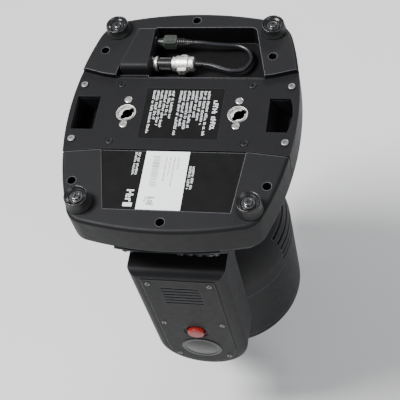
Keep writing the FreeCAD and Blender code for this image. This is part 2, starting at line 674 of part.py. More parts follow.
# ---- yoke -----------------------------------------------------------------------------------------
def arm_profile(half_x, top, y0, y1):
    """An arm seen from its side: straight edges ending in a half circle about the tilt axis."""
    return box(-half_x, half_x, y0, y1, TILT_Z, top).fuse(cyl_y(half_x, y0, y1)).removeSplitter()


def yoke_frame():
    pieces = [box(-FRAME_HALF_X, FRAME_HALF_X, -ARM_INNER - 1, ARM_INNER + 1, CROSS_Z[0], CROSS_Z[1])]
    for side in (-1, 1):
        y0, y1 = span(side, ARM_INNER, ARM_INNER + FRAME_T)
        pieces.append(arm_profile(FRAME_HALF_X, CROSS_Z[1], y0, y1))
        y0, y1 = span(side, INNER_COVER[0] + 0.8, ARM_INNER + 1)
        pieces.append(cyl_y(TILT_BORE_R + 12.0, y0, y1))
    motor_z = TILT_Z + TILT_MOTOR_DROP
    pieces.append(box(-24, 24, 116.5, 118.5, motor_z - 24, motor_z + 24))
    pieces += [box(sx * 23 - 1, sx * 23 + 1, ARM_INNER + 1, 118.5, motor_z - 20, motor_z + 24) for sx in (-1, 1)]
    holes = [cyl_y(TILT_BORE_R + 6.0, -120, 110), cyl_y(11.2, 110, 125, 0, motor_z)]
    holes.append(cyl(SHAFT_BORE_R, CROSS_Z[0] - 1, CROSS_Z[1] + 1))
    holes.append(cyl_y(LOCK_PIN_R + 0.2, -110, -90, 0, TILT_Z + LOCK_RING_R))
    return cut(fuse(pieces), holes)


def tilt_bearings():
    bearings = []
    for side in (-1, 1):
        y0, y1 = span(side, INNER_COVER[0] + 0.8, ARM_INNER + FRAME_T)
        bearings.append(cyl_y(TILT_BORE_R + 6.0, y0, y1).cut(cyl_y(TILT_BORE_R, y0 - 1, y1 + 1)))
    return bearings


def crown_cover():
    """The moulded cover over the cross-piece, with a round neck towards the base."""
    limit = INNER_COVER[0] - 0.4
    block = box(-ARM_HALF_X, ARM_HALF_X, -limit, limit, CROWN_BOTTOM, YOKE_TOP)
    block = block.makeFillet(7.0, [e for e in block.Edges if e.BoundBox.YLength > 100])
    neck = cyl(58.0, YOKE_TOP - 2.0, YOKE_TOP + 3.5).common(box(-ARM_HALF_X, ARM_HALF_X, -70, 70, -90, -70))
    hollow = box(-ARM_HALF_X + SKIN, ARM_HALF_X - SKIN, -limit - 1, limit + 1, CROWN_BOTTOM + SKIN, YOKE_TOP - SKIN)
    openings = [hollow, cyl(27.0, -95, -70), cyl(LOCK_PIN_R + 0.4, -90, -70, -PAN_LOCK_R, 0)]
    openings.append(box(-60, -ARM_HALF_X + 8, -4.6, 4.6, -111, -93))
    return cut(fuse([block, neck]), openings)


def edges_at_y(shape, y):
    return [e for e in shape.Edges if abs(e.BoundBox.YMin - y) < 0.1 and abs(e.BoundBox.YMax - y) < 0.1]


def arm_cover(side):
    """The outer shell of one arm; it wraps over the frame plate and the end of the cross-piece."""
    y0, y1 = span(side, ARM_INNER, ARM_OUTER)
    shell = arm_profile(ARM_HALF_X, YOKE_TOP, y0, y1)
    y0, y1 = span(side, INNER_COVER[0], ARM_INNER + 5)
    shell = shell.fuse(box(-ARM_HALF_X, ARM_HALF_X, y0, y1, CROWN_BOTTOM + 0.3, YOKE_TOP)).removeSplitter()
    shell = shell.makeFillet(9.0, edges_at_y(shell, side * ARM_OUTER))
    y0, y1 = span(side, INNER_COVER[0] - 1, ARM_OUTER - SKIN)
    hollow = arm_profile(ARM_HALF_X - SKIN, YOKE_TOP - SKIN, y0, y1)
    hollow = hollow.makeFillet(7.0, edges_at_y(hollow, side * (ARM_OUTER - SKIN)))
    shell = shell.cut(hollow)
    if side < 0:
        z = TILT_Z + LOCK_RING_R
        dish = cyl_y(13.5, -ARM_OUTER + 1.0, -ARM_OUTER + 10.5, 0, z)
        shell = fuse([shell, dish])
        well = cyl_y(11.0, -ARM_OUTER - 1, -ARM_OUTER + 8, 0, z)
        shell = cut(shell, [well, cyl_y(LOCK_PIN_R + 0.2, -150, -120, 0, z)])
    return shell


def arm_inner_cover(side):
    y0, y1 = span(side, *INNER_COVER)
    cover = arm_profile(ARM_HALF_X, CROWN_BOTTOM, y0, y1)
    holes = [cyl_y(TILT_BORE_R + 12.3, y0 - 1, y1 + 1)]
    if side < 0:
        holes.append(cyl_y(LOCK_PIN_R + 0.4, y0 - 1, y1 + 1, 0, TILT_Z + LOCK_RING_R))
    return cut(cover, holes)


def tilt_motor():
    z = TILT_Z + TILT_MOTOR_DROP
    half = MOTOR_SIDE / 2
    body = box(-half, half, 118.5, 139.5, z - half, z + half)
    body = body.makeChamfer(3.0, [e for e in body.Edges if e.BoundBox.YLength > 20])
    boss = cyl_y(11.0, 116.5, 118.5, 0, z)
    return fuse([body, boss]).cut(cyl_y(2.55, 116, 130, 0, z))


def along_y(shape, y_offset):
    """Turn a shape drawn along Z at the origin so that its Z points along Y and its X along Z."""
    shape.rotate(V(0, 0, 0), V(0, 1, 0), -90)
    shape.rotate(V(0, 0, 0), V(0, 0, 1), -90)
    shape.translate(V(0, y_offset, TILT_Z))
    return shape


def tilt_pulley():
    return along_y(toothed_pulley(TILT_PULLEY_R, 36.5, 0.0, 9.0, TILT_SHAFT_R, 68), 106.0)


def tilt_motor_pulley():
    pulley = toothed_pulley(MOTOR_PULLEY_R, 9.0, 0.0, 9.0, 0, 14)
    whole = fuse([pulley, cyl(2.5, 1.0, 22.0)])
    whole.translate(V(TILT_MOTOR_DROP, 0, 0))
    return along_y(whole, 106.0)


def tilt_belt():
    return along_y(belt_loop(TILT_PULLEY_R, MOTOR_PULLEY_R, TILT_MOTOR_DROP, 1.6, 7.4), 106.0)


def pan_lock():
    """Sliding pin: pushed up, it enters one of four holes in the base."""
    pin = cyl(LOCK_PIN_R, -106.0, -81.0, -PAN_LOCK_R, 0)
    link = box(-56.0, -PAN_LOCK_R, -3.8, 3.8, -108.0, -102.0)
    pad = box(-59.0, -ARM_HALF_X - 0.5, -8.0, 8.0, -113.0, -97.0)
    pad = pad.makeFillet(1.5, [e for e in pad.Edges if e.BoundBox.XMax < -58.9])
    return fuse([pin, link, pad])


def tilt_lock():
    """Push plunger in the free arm; its pin enters the lock disc on the head."""
    z = TILT_Z + LOCK_RING_R
    pin = cyl_y(LOCK_PIN_R, -ARM_OUTER + 1.0, -94.0, 0, z)
    knob = cyl_y(9.5, -ARM_OUTER - 4.5, -ARM_OUTER + 1.5, 0, z)
    knob = knob.makeFillet(1.5, [e for e in knob.Edges if e.BoundBox.YMax < -ARM_OUTER - 4.4])
    return fuse([pin, knob])


# ---- head -----------------------------------------------------------------------------------------
def head_sides(inset):
    return box(-120, 120, -HEAD_FLAT + inset, HEAD_FLAT - inset, TILT_Z - 120, TILT_Z + 120)


def head_front_shell():
    outer = disc_w(HEAD_R, HEAD_SPLIT + 0.2, FRONT_END).common(head_sides(0))
    inner = disc_w(HEAD_R - HEAD_WALL, HEAD_SPLIT - 1, FRONT_END + 1).common(head_sides(HEAD_WALL))
    return outer.cut([inner, cyl_y(16.5, -100, 100)])


def dome_solid(inset):
    """The rear of the head: a short cylinder, then an arc that closes in towards the fan grille."""
    r = HEAD_R - inset
    end_r = 58.0 - inset
    end_w = -98.0 + inset
    start = V(0, 0, TILT_Z - HEAD_SPLIT)
    a = V(r, 0, TILT_Z - HEAD_SPLIT)
    b = V(r, 0, TILT_Z + 26.0)
    mid = V(r - 8.0, 0, TILT_Z + 66.0)
    c = V(end_r, 0, TILT_Z - end_w)
    end = V(0, 0, TILT_Z - end_w)
    edges = [Part.LineSegment(start, a), Part.LineSegment(a, b), Part.Arc(b, mid, c), Part.LineSegment(c, end),
             Part.LineSegment(end, start)]
    return Part.Face(Part.Wire([e.toShape() for e in edges])).revolve(V(0, 0, 0), V(0, 0, 1), 360)


def head_rear_shell():
    shell = dome_solid(0.0).common(head_sides(0)).cut(dome_solid(HEAD_WALL).common(head_sides(HEAD_WALL)))
    openings = [cyl_y(16.5, -100, 100)]
    grille = [disc_w(r_out, -100, -93).cut(disc_w(r_in, -101, -92)) for r_out, r_in in ((38, 31), (28, 21), (18, 11))]
    spokes = [box(-1.6, 1.6, -40, 40, TILT_Z + 90, TILT_Z + 102), box(-40, 40, -1.6, 1.6, TILT_Z + 90, TILT_Z + 102)]
    openings += [slot.cut(spokes) for slot in grille]
    for k in range(5):
        z = TILT_Z + 18.0 + 11.0 * k
        openings += [box(*span(side, 0, 100), -34, 34, z, z + 5.0) for side in (-1, 1)]
    return cut(shell, openings)


def head_chassis():
    """Cast ring plate with two side plates that carry the tilt shafts."""
    plate = disc_w(84.0, 0.0, 3.0).cut(disc_w(62.0, -1.0, 4.0))
    sides = []
    for side in (-1, 1):
        y0, y1 = span(side, 80.5, 84.5)
        sides.append(box(-26, 26, y0, y1, TILT_Z - 40, TILT_Z + 36))
        y0, y1 = span(side, 62.0, 84.0)
        sides.append(box(-26, 26, y0, y1, TILT_Z - 3, TILT_Z).common(disc_w(84.0, -1, 4)))
    holes = [cyl_y(9.0, -90, 90)]
    return cut(fuse([plate.common(head_sides(3.5))] + sides), holes)


def tilt_shaft(side):
    """Hollow stub axle with a flange; the free side's flange is the lock disc."""
    end = 116.0 if side > 0 else 106.0
    flange_r = 28.0 if side > 0 else 48.0
    y0, y1 = span(side, 84.5, end)
    stub = cyl_y(TILT_SHAFT_R, y0, y1)
    y0, y1 = span(side, 88.3, 91.6)
    flange = cyl_y(flange_r, y0, y1)
    holes = [cyl_y(9.0, -120, 120)]
    if side < 0:
        for k in range(16):
            a = math.radians(LOCK_STEP * k)
            holes.append(cyl_y(LOCK_PIN_R + 0.5, -95, -85, LOCK_RING_R * math.sin(a), TILT_Z + LOCK_RING_R * math.cos(a)))
    return cut(fuse([stub, flange]), holes)


def heat_sink():
    base = disc_w(79.0, -6.0, 0.0).common(box(-79, 79, -62, 62, TILT_Z - 1, TILT_Z + 8))
    fins = [box(-60 + 6 * k - 0.9, -60 + 6 * k + 0.9, -60, 60, TILT_Z + 5.0, TILT_Z + 48.0) for k in range(21)]
    envelope = disc_w(64.0, -50.0, 0.0)
    return fuse([base] + [fin.common(envelope) for fin in fins])


def led_places():
    places = [(0.0, 0.0)]
    for count, radius in ((6, 21.0), (12, 42.0)):
        for k in range(count):
            a = 2 * math.pi * k / count + (math.pi / 12 if count == 12 else 0)
            places.append((radius * math.cos(a), radius * math.sin(a)))
    return places


def led_board():
    board = disc_w(58.0, 0.0, 1.6)
    chips = [box(x - 3, x + 3, y - 3, y + 3, TILT_Z - 2.8, TILT_Z - 1.0) for x, y in led_places()]
    return fuse([board] + chips)


def collimator_array():
    plate = disc_w(56.0, 18.0, 21.0)
    cones = [Part.makeCone(9.2, 4.4, 15.2, V(x, y, TILT_Z - 18.2), V(0, 0, 1)) for x, y in led_places()]
    posts = [disc_w(2.5, 1.6, 18.5, 53.0 * math.cos(a), 53.0 * math.sin(a))
             for a in [math.radians(15 + 120 * k) for k in range(3)]]
    return fuse([plate] + cones + posts)


def rod_places():
    return [(ROD_CIRCLE * math.cos(math.radians(a)), ROD_CIRCLE * math.sin(math.radians(a))) for a in ROD_ANGLES]


def guide_rods():
    return [disc_w(ROD_R, 3.0, 84.0, x, y) for x, y in rod_places()]


def zoom_motor():
    body = box(SCREW_X - 10, SCREW_X + 10, SCREW_Y - 10, SCREW_Y + 10, TILT_Z - 27.0, TILT_Z - 3.0)
    return body.cut(disc_w(1.55, 10.0, 28.0, SCREW_X, SCREW_Y))


def lead_screw():
    return fuse([disc_w(1.5, 11.0, 28.5, SCREW_X, SCREW_Y), disc_w(3.0, 28.0, 84.0, SCREW_X, SCREW_Y)])


def zoom_carriage():
    """Lens carrier that runs on the rods; the lead screw drives its nut."""
    w0, w1 = ZOOM_W
    plate = disc_w(67.0, w0, w1).cut(disc_w(57.0, w0 - 1, w0 + 3.0))
    lenses = [disc_w(9.6, w0 + 0.5, w0 + 4.0, x, y) for x, y in led_places()]
    ears = [disc_w(8.0, w0, w1, x, y) for x, y in rod_places() + [(SCREW_X, SCREW_Y)]]
    holes = [disc_w(ROD_R + 0.06, w0 - 1, w1 + 1, x, y) for x, y in rod_places()]
    holes.append(disc_w(3.08, w0 - 1, w1 + 1, SCREW_X, SCREW_Y))
    return cut(fuse([plate] + lenses + ears), holes)


def front_lens():
    rim = disc_w(LENS_R, 91.2, 96.2)
    dome_r = 420.0
    ball = Part.makeSphere(dome_r, V(0, 0, TILT_Z - 100.5 + dome_r))
    return fuse([rim, ball.common(disc_w(73.5, 96.0, 101.0))])


def front_ring():
    profile = [(HEAD_R, FRONT_END + 0.3), (HEAD_R, RING_END - 5), (HEAD_R - 4, RING_END), (77.0, RING_END),
               (74.0, 96.5), (LENS_R + 0.1, 96.5), (LENS_R + 0.1, FRONT_END + 0.3)]
    body = revolve_w(profile)
    lip = disc_w(88.6, 84.5, 91.0).cut(disc_w(79.5, 84.0, 92.0)).common(head_sides(HEAD_WALL + 0.3))
    return fuse([body, lip])


def fan_frame():
    side = 40.0
    frame = box(-side, side, -side, side, TILT_Z + 60, TILT_Z + 75)
    frame = frame.makeFillet(5.0, [e for e in frame.Edges if e.BoundBox.ZLength > 10])
    frame = frame.cut(disc_w(38.5, -76, -59))
    spider = [box(-39, 39, -1.5, 1.5, TILT_Z + 73, TILT_Z + 75), box(-1.5, 1.5, -39, 39, TILT_Z + 73, TILT_Z + 75)]
    hub = fuse([disc_w(15.0, -75.0, -73.0), disc_w(2.0, -75.0, -64.0)])
    return fuse([frame, hub] + spider)


def fan_rotor():
    hub = disc_w(16.0, -72.4, -61.0).cut(disc_w(2.06, -75.0, -63.0))
    blades = []
    for k in range(7):
        blade = box(14.0, 37.0, -0.8, 0.8, TILT_Z + 61.5, TILT_Z + 72.0)
        blade.rotate(V(0, 0, TILT_Z + 66.5), V(1, 0, 0), 38)
        blade.rotate(V(0, 0, 0), V(0, 0, 1), 360.0 / 7 * k)
        blades.append(blade)
    limit = disc_w(37.5, -72.4, -61.0)
    return fuse([hub] + [blade.common(limit) for blade in blades])


def main():
    os.makedirs("parts", exist_ok=True)
    both = (-1, 1)
    corners = [(sx * FOOT_X, y) for sx in both for y in (FRONT_FOOT_Y, REAR_FOOT_Y)]
    save("base_chassis", [base_chassis()])
    save("clamp_plate", [clamp_plate()])
    save("front_base_cover", [front_base_cover()])
    save("rear_base_cover", [rear_base_cover()])
    save("pan_side_cover", [pan_side_cover()])
    save("socket_hood", [socket_hood()])
    save("rubber_feet", [rubber_foot(x, y) for x, y in corners])
    save("foot_screws", [foot_screw(x, y) for x, y in corners])
    save("cam_receptacles", [cam_receptacle(side) for side in both])
    save("receptacle_rivets", [rivet(x, y) for x, y in mirror_four([(RECEPTACLE_X, RIVET_Y)])])
    save("case_screws", case_screws())
    save("hand_cups", [hand_cup(side) for side in both])
    save("info_label", [info_label()])
    save("rating_label", [rating_label()])
    save("link_sockets", [link_socket(UPPER_SOCKET_R, UPPER_PLUG), link_socket(LOWER_SOCKET_R, LOWER_PLUG)])
    save("link_plug_upper", [link_plug_upper()])
    save("link_plug_lower", [link_plug_lower()])
    save("link_lead", [lead_tube()])
    save("display_panel", [display_panel()])
    for number, x in enumerate(BUTTON_X, 1):
        save("menu_button_%d" % number, [menu_button(x)])
    save("power_sockets", power_sockets())
    save("data_sockets", data_sockets())
    save("power_supply", [power_supply()])
    save("control_board", [control_board()])
    save("pan_motor", [pan_motor()])
    save("pan_motor_pulley", [pan_motor_pulley()])
    save("pan_belt", [pan_belt()])
    save("pan_bearing", [ring(BEARING_R, SHAFT_R + 0.05, *BEARING_Z)])
    save("pan_shaft", [pan_shaft()])
    save("pan_pulley", [pan_pulley()])
    save("yoke_frame", [yoke_frame()])
    save("crown_cover", [crown_cover()])
    save("drive_arm_cover", [arm_cover(1)])
    save("free_arm_cover", [arm_cover(-1)])
    save("arm_inner_covers", [arm_inner_cover(side) for side in both])
    save("tilt_bearings", tilt_bearings())
    save("tilt_motor", [tilt_motor()])
    save("tilt_motor_pulley", [tilt_motor_pulley()])
    save("tilt_belt", [tilt_belt()])
    save("pan_lock", [pan_lock()])
    save("tilt_lock", [tilt_lock()])
    save("head_front_shell", [head_front_shell()])
    save("head_rear_shell", [head_rear_shell()])
    save("head_chassis", [head_chassis()])
    save("tilt_shafts", [tilt_shaft(side) for side in both])
    save("tilt_pulley", [tilt_pulley()])
    save("heat_sink", [heat_sink()])
    save("led_board", [led_board()])
    save("collimator_array", [collimator_array()])
    save("zoom_carriage", [zoom_carriage()])
    save("guide_rods", guide_rods())
    save("lead_screw", [lead_screw()])
    save("zoom_motor", [zoom_motor()])
    save("front_lens", [front_lens()])
    save("front_ring", [front_ring()])
    save("fan_frame", [fan_frame()])
    save("fan_rotor", [fan_rotor()])


main()
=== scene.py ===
import json
import math
import random

import bmesh
import bpy
from mathutils import Matrix, Vector
from mathutils.geometry import tessellate_polygon


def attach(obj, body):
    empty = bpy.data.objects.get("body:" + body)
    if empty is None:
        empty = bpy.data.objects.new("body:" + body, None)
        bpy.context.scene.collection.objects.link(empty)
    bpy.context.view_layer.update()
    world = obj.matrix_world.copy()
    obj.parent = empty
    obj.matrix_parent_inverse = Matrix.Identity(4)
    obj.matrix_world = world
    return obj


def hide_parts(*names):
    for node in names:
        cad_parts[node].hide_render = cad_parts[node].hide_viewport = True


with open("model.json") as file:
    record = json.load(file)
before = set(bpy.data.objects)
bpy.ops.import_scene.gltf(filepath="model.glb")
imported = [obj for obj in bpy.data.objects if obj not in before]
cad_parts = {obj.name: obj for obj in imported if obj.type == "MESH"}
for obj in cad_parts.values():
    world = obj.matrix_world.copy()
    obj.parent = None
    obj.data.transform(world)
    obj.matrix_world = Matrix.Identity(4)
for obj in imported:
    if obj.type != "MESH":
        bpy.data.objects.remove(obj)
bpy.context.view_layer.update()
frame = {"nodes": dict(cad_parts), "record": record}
NODES = frame["nodes"]
MM = 0.001

# Driving places, in millimetres in the object's frame. They repeat the CAD design.
# Base, underside up: the two covers' heights, the feet, the receptacles and the sunk front panel.
FRONT_TOP = 2.0
REAR_TOP = 5.5
FOOT_X = 85.0
FOOT_ROWS = [(-113.5, FRONT_TOP), (106.0, REAR_TOP)]
FOOT_TOP = 16.5
FOOT_R = 13.2
RECEPTACLE_X = 58.8
KEYHOLE_R = 5.6
KEYHOLE_LOBE_R = 3.0
KEYHOLE_SHIFT = (1.2, 0.2)
KEYHOLE_TURN = 45.0
FRONT_PANEL = [(-76, -49.4), (-60, -118.5), (67, -118.5), (74, -49.4)]
PANEL_Z = 1.0
LABEL_T = 0.3
PRINT_T = 0.06
INK_T = 0.04

# Connector bay: its limits in metres, the hood over its two sockets, and the link lead with its plugs.
# Inside these limits the rear cover is painted near-black: painted shade for the unlit bay.
PAINTED_SHADE_BAY_LIMITS = (0.0835, 0.1118, 0.0035)
HOOD_FRONT = 53.8
HOOD_REAR = 106.7
HOOD_TOP = 8.5
HOOD_BOTTOM = -12.0
HOOD_RIGHT = -43.25
HOOD_LEFT = -74.7
HOOD_SLANT = 12.9
HOOD_LIP_R = 5.5
UPPER_PLUG = (98.5, -5.0)
LOWER_PLUG = (71.0, -8.0)
PLUG_NOSE = -41.9
LEAD_ROUTE = [(-5, 98.5, -5), (6, 98.5, -5), (18, 97.8, -7), (31, 98.8, -9.5), (45, 100, -11.5),
              (56, 95.5, -12), (62, 86, -12.4), (61.5, 75.5, -12.4), (55, 66.5, -12), (43.5, 63.5, -11),
              (30, 66.5, -9.5), (16.5, 71, -8), (4, 71, -8)]
LEAD_DIAMETER = 5.0

# The base's two sloping ends: -1 is the display's end, 1 the sockets' end.
END_FACE = {-1: 143.0, 1: 131.0}
BREAK_Z = -35.0
BOTTOM_Z = -78.0
BOTTOM_INSET = 24.0
SOCKET_X = [-51.0, -17.0, 17.0, 51.0]
BUTTON_X = [10.0, 19.5, 29.0, 38.5]

# Yoke and head. The lens seat, the dies and the front ring's end are measured from the tilt axis.
ARM_OUTER = 143.0
ARM_HALF_X = 52.0
ARM_SLOTS = 6
ARM_SLOT_TOP = -112.0
ARM_SLOT_PITCH = 6.5
ARM_SLOT_WIDTH = 2.8
ARM_MESH = (109.0, 150.5)
ARM_SCREWS = [(-33.0, -104.0), (33.0, -104.0), (-33.0, -196.0), (33.0, -196.0),
              (-29.5, -277.0), (29.5, -277.0)]
TILT_Z = -258.0
LOCK_RING_R = 42.0
YOKE_TOP = -84.0
CROWN_SCREW_Z = -103.0
PAN_LOCK = (-59.0, 0, -105.0)
LENS_SEAT = 36.0
DIE_BASE = 2.8
DIE_TOP = 3.0
RING_END = 104.0
RING_SCREW_R = 82.5

# Screw heads, as radius and height.
COVER_SCREW = (2.7, 1.1)
RING_SCREW = (2.3, 0.9)
SOCKET_SCREW = (1.7, 0.9)
PANEL_SCREW = (1.5, 0.8)

# Rounding of hard edges: the least angle in degrees, the joining distance in metres, and for the CAD
# nodes the width in millimetres.
SOFT_ANGLE = 35.0
SOFT_SEGMENTS = 2
WELD_METRES = 0.000002
SOFT_EDGES = {
    "hand_cups": 0.6, "receptacle_rivets": 0.2, "case_screws": 0.15, "foot_screws": 0.2,
    "display_panel": 0.4, "power_sockets": 0.4, "data_sockets": 0.4, "crown_cover": 0.4,
    "pan_lock": 0.3, "arm_inner_covers": 0.5, "link_sockets": 0.3,
}


# ---- node materials -----------------------------------------------------------------------------
class Shader:
    """A small helper that builds one Principled material from nodes. Its lengths are in metres."""

    def __init__(self, name, color, roughness, metallic=0.0, **sockets):
        self.material = bpy.data.materials.new(name)
        self.material.use_nodes = True
        self.tree = self.material.node_tree
        self.tree.nodes.clear()
        self.out = self.add("ShaderNodeOutputMaterial")
        self.bsdf = self.add("ShaderNodeBsdfPrincipled")
        self.link(self.bsdf.outputs["BSDF"], self.out.inputs["Surface"])
        self.set("Base Color", (*color, 1.0))
        self.set("Roughness", roughness)
        self.set("Metallic", metallic)
        for key, value in sockets.items():
            self.set(key.replace("_", " "), value)
        self.coords = self.add("ShaderNodeTexCoord").outputs["Object"]
        self.normal = None

    def add(self, kind, **settings):
        """A new node with the given settings."""
        node = self.tree.nodes.new(kind)
        for key, value in settings.items():
            setattr(node, key, value)
        return node

    def link(self, a, b):
        """Join an output to an input."""
        self.tree.links.new(a, b)

    def set(self, socket, value):
        """A constant on the Principled shader's own socket."""
        self.bsdf.inputs[socket].default_value = value

    def stretched(self, stretch):
        """The object coordinates, scaled by axis."""
        node = self.add("ShaderNodeMapping")
        node.inputs["Scale"].default_value = stretch
        self.link(self.coords, node.inputs["Vector"])
        return node.outputs["Vector"]

    def noise(self, per_metre, detail=3.0, stretch=None):
        """Noise with the given number of features to the metre."""
        node = self.add("ShaderNodeTexNoise")
        node.inputs["Scale"].default_value = per_metre
        node.inputs["Detail"].default_value = detail
        self.link(self.stretched(stretch) if stretch else self.coords, node.inputs["Vector"])
        return node.outputs["Fac"]

    def cells(self, per_metre):
        """The distance to the middle of each Voronoi cell."""
        node = self.add("ShaderNodeTexVoronoi")
        node.inputs["Scale"].default_value = per_metre
        self.link(self.coords, node.inputs["Vector"])
        return node.outputs["Distance"]

    def spread(self, fac, low, high, to_low, to_high):
        """Map the range from low to high onto the range from to_low to to_high."""
        node = self.add("ShaderNodeMapRange")
        limits = {"From Min": low, "From Max": high, "To Min": to_low, "To Max": to_high}
        for name, value in limits.items():
            node.inputs[name].default_value = value
        self.link(fac, node.inputs["Value"])
        return node.outputs["Result"]

    def patches(self, per_metre, detail, low=0.35, high=0.7):
        """Soft patches between 0 and 1."""
        return self.spread(self.noise(per_metre, detail), low, high, 0.0, 1.0)

    def product(self, a, b):
        """The product of two outputs."""
        node = self.add("ShaderNodeMath", operation="MULTIPLY")
        self.link(a, node.inputs[0])
        self.link(b, node.inputs[1])
        return node.outputs[0]

    def axis(self, name):
        """One of the object coordinates."""
        parts = self.add("ShaderNodeSeparateXYZ")
        self.link(self.coords, parts.inputs[0])
        return parts.outputs[name]

    def inside(self, limits):
        """1 where the point is below all three limits, as the sunk connector bay is, and 0 elsewhere."""
        result = None
        for axis, limit in zip("XYZ", limits):
            test = self.add("ShaderNodeMath", operation="LESS_THAN")
            self.link(self.axis(axis), test.inputs[0])
            test.inputs[1].default_value = limit
            result = self.product(result, test.outputs[0]) if result else test.outputs[0]
        return result

    def mix(self, fac, a, b):
        """A blend of two colours; each is a tuple or an output."""
        node = self.add("ShaderNodeMix", data_type="RGBA")
        for socket, value in (("A", a), ("B", b)):
            target = [s for s in node.inputs if s.name == socket and s.type == "RGBA"][0]
            if isinstance(value, tuple):
                target.default_value = (*value, 1.0)
            else:
                self.link(value, target)
        self.link(fac, node.inputs["Factor"])
        return [s for s in node.outputs if s.type == "RGBA"][0]

    def tint(self, fac, a, b):
        """Blend the base colour between two colours."""
        self.link(self.mix(fac, a, b), self.bsdf.inputs["Base Color"])

    def vary_roughness(self, per_metre, detail, to_low, to_high, high=0.7):
        """Let noise carry the roughness from to_low to to_high."""
        fac = self.noise(per_metre, detail)
        self.link(self.spread(fac, 0.3, high, to_low, to_high), self.bsdf.inputs["Roughness"])

    def bump(self, fac, depth, strength=0.5):
        """Add a bump on top of the ones before it."""
        node = self.add("ShaderNodeBump")
        node.inputs["Strength"].default_value = strength
        node.inputs["Distance"].default_value = depth
        self.link(fac, node.inputs["Height"])
        if self.normal:
            self.link(self.normal, node.inputs["Normal"])
        self.normal = node.outputs["Normal"]
        self.link(self.normal, self.bsdf.inputs["Normal"])

    def round_edges_with_painted_highlight(self, base, radius, highlight_color):
        """Round the shading over hard edges, and paint the outward ones lighter: a painted highlight on
        convex edges.
        """
        bevel = self.add("ShaderNodeBevel", samples=6)
        bevel.inputs["Radius"].default_value = radius
        likeness = self.add("ShaderNodeVectorMath", operation="DOT_PRODUCT")
        self.link(bevel.outputs["Normal"], likeness.inputs[0])
        self.link(self.add("ShaderNodeNewGeometry").outputs["Normal"], likeness.inputs[1])
        edge = self.spread(likeness.outputs["Value"], 0.86, 0.985, 1.0, 0.0)
        open_air = self.add("ShaderNodeAmbientOcclusion", samples=4)
        open_air.inputs["Distance"].default_value = 2.0 * radius
        outward = self.spread(open_air.outputs["AO"], 0.7, 0.95, 0.0, 1.0)
        # The lighter colour on outward edges is a painted highlight, where edges would catch the light.
        self.tint(self.product(edge, outward), base, highlight_color)
        self.normal = bevel.outputs["Normal"]


def shade(color, factor):
    """A lighter or darker version of a colour."""
    return tuple(min(1.0, channel * factor) for channel in color)


def moulded(name, color, bay=None):
    """Moulded plastic: fine spark-eroded grain, faint blotches, a painted highlight on convex edges, and
    painted shade in the bay.
    """
    roughness = 0.5
    grain = 1500.0
    depth = 0.00006
    s = Shader(name, color, roughness, Specular_IOR_Level=0.16)
    base = s.mix(s.patches(38.0, 4.0), shade(color, 0.95), shade(color, 1.06))
    # Inside the connector bay the colour is near-black: painted shade for the bay's unlit inside.
    if bay:
        base = s.mix(s.inside(bay), base, (0.004, 0.004, 0.004))
    # Convex edges get a colour sixteen times lighter: a painted highlight.
    s.round_edges_with_painted_highlight(base, 0.0013, shade(color, 16.0))
    s.vary_roughness(120.0, 5.0, roughness - 0.03, roughness + 0.04)
    s.bump(s.cells(grain), depth, 0.55)
    s.bump(s.noise(grain * 0.55, 2.0), depth, 0.3)
    return s.material


def painted_steel(name, color, roughness=0.48):
    """Powder-coated steel: a soft orange-peel surface with a few dull patches and a painted highlight on
    convex edges.
    """
    s = Shader(name, color, roughness, Specular_IOR_Level=0.12)
    base = s.mix(s.patches(60.0, 5.0, 0.3, 0.75), shade(color, 0.94), shade(color, 1.08))
    # Convex edges get a colour five times lighter: a painted highlight.
    s.round_edges_with_painted_highlight(base, 0.0006, shade(color, 5.0))
    s.vary_roughness(200.0, 4.0, roughness - 0.03, roughness + 0.04)
    s.bump(s.noise(1100.0, 2.0), 0.00005, 0.45)
    return s.material


def bright_metal(name, color, roughness, stretch=(1.0, 1.0, 1.0), per_metre=900.0):
    """Plated or turned metal with fine tool marks and a little tarnish."""
    s = Shader(name, color, roughness, 1.0)
    s.tint(s.patches(220.0, 5.0), shade(color, 0.82), color)
    s.vary_roughness(420.0, 4.0, roughness * 0.7, roughness * 1.5)
    s.bump(s.noise(per_metre, 2.0, stretch), 0.00002, 0.35)
    return s.material


def soft_rubber(name, color, roughness):
    """Rubber with dusty patches and an uneven sheen."""
    s = Shader(name, color, roughness, Specular_IOR_Level=0.6)
    s.tint(s.patches(120.0, 4.0), color, shade(color, 1.7))
    s.vary_roughness(260.0, 5.0, roughness - 0.12, roughness + 0.12, 0.75)
    s.bump(s.noise(700.0, 3.0), 0.00006, 0.35)
    return s.material


def smooth_plastic(name, color, roughness):
    """Smooth moulded plastic with faint wear."""
    s = Shader(name, color, roughness, Specular_IOR_Level=0.5)
    s.tint(s.patches(150.0, 4.0), shade(color, 0.85), shade(color, 1.2))
    s.vary_roughness(500.0, 4.0, roughness - 0.06, roughness + 0.1, 0.75)
    s.bump(s.noise(1600.0, 2.0), 0.00002, 0.25)
    return s.material


def black_foil(name, color):
    """Printed foil: nearly black, satin, with faint long ripples."""
    s = Shader(name, color, 0.5, Specular_IOR_Level=0.06)
    s.tint(s.patches(60.0, 3.0, 0.3, 0.7), color, shade(color, 1.35))
    s.vary_roughness(70.0, 3.0, 0.44, 0.58)
    s.bump(s.noise(110.0, 2.0), 0.00008, 0.3)
    return s.material


def screw_finish():
    """Zinc on the plate's outer screws, black oxide on the ones nearer its middle and in the wells."""
    s = Shader("mixed_screws", (0.1, 0.1, 0.1), 0.42, 1.0)
    size = s.add("ShaderNodeMath", operation="ABSOLUTE")
    s.link(s.axis("X"), size.inputs[0])
    outer = s.spread(size.outputs[0], 0.103, 0.105, 0.0, 1.0)
    zinc = s.mix(s.noise(500.0, 4.0), (0.24, 0.24, 0.25), (0.38, 0.38, 0.38))
    s.tint(outer, (0.045, 0.045, 0.047), zinc)
    s.vary_roughness(900.0, 3.0, 0.34, 0.52)
    s.bump(s.noise(1500.0, 2.0), 0.00002, 0.3)
    return s.material


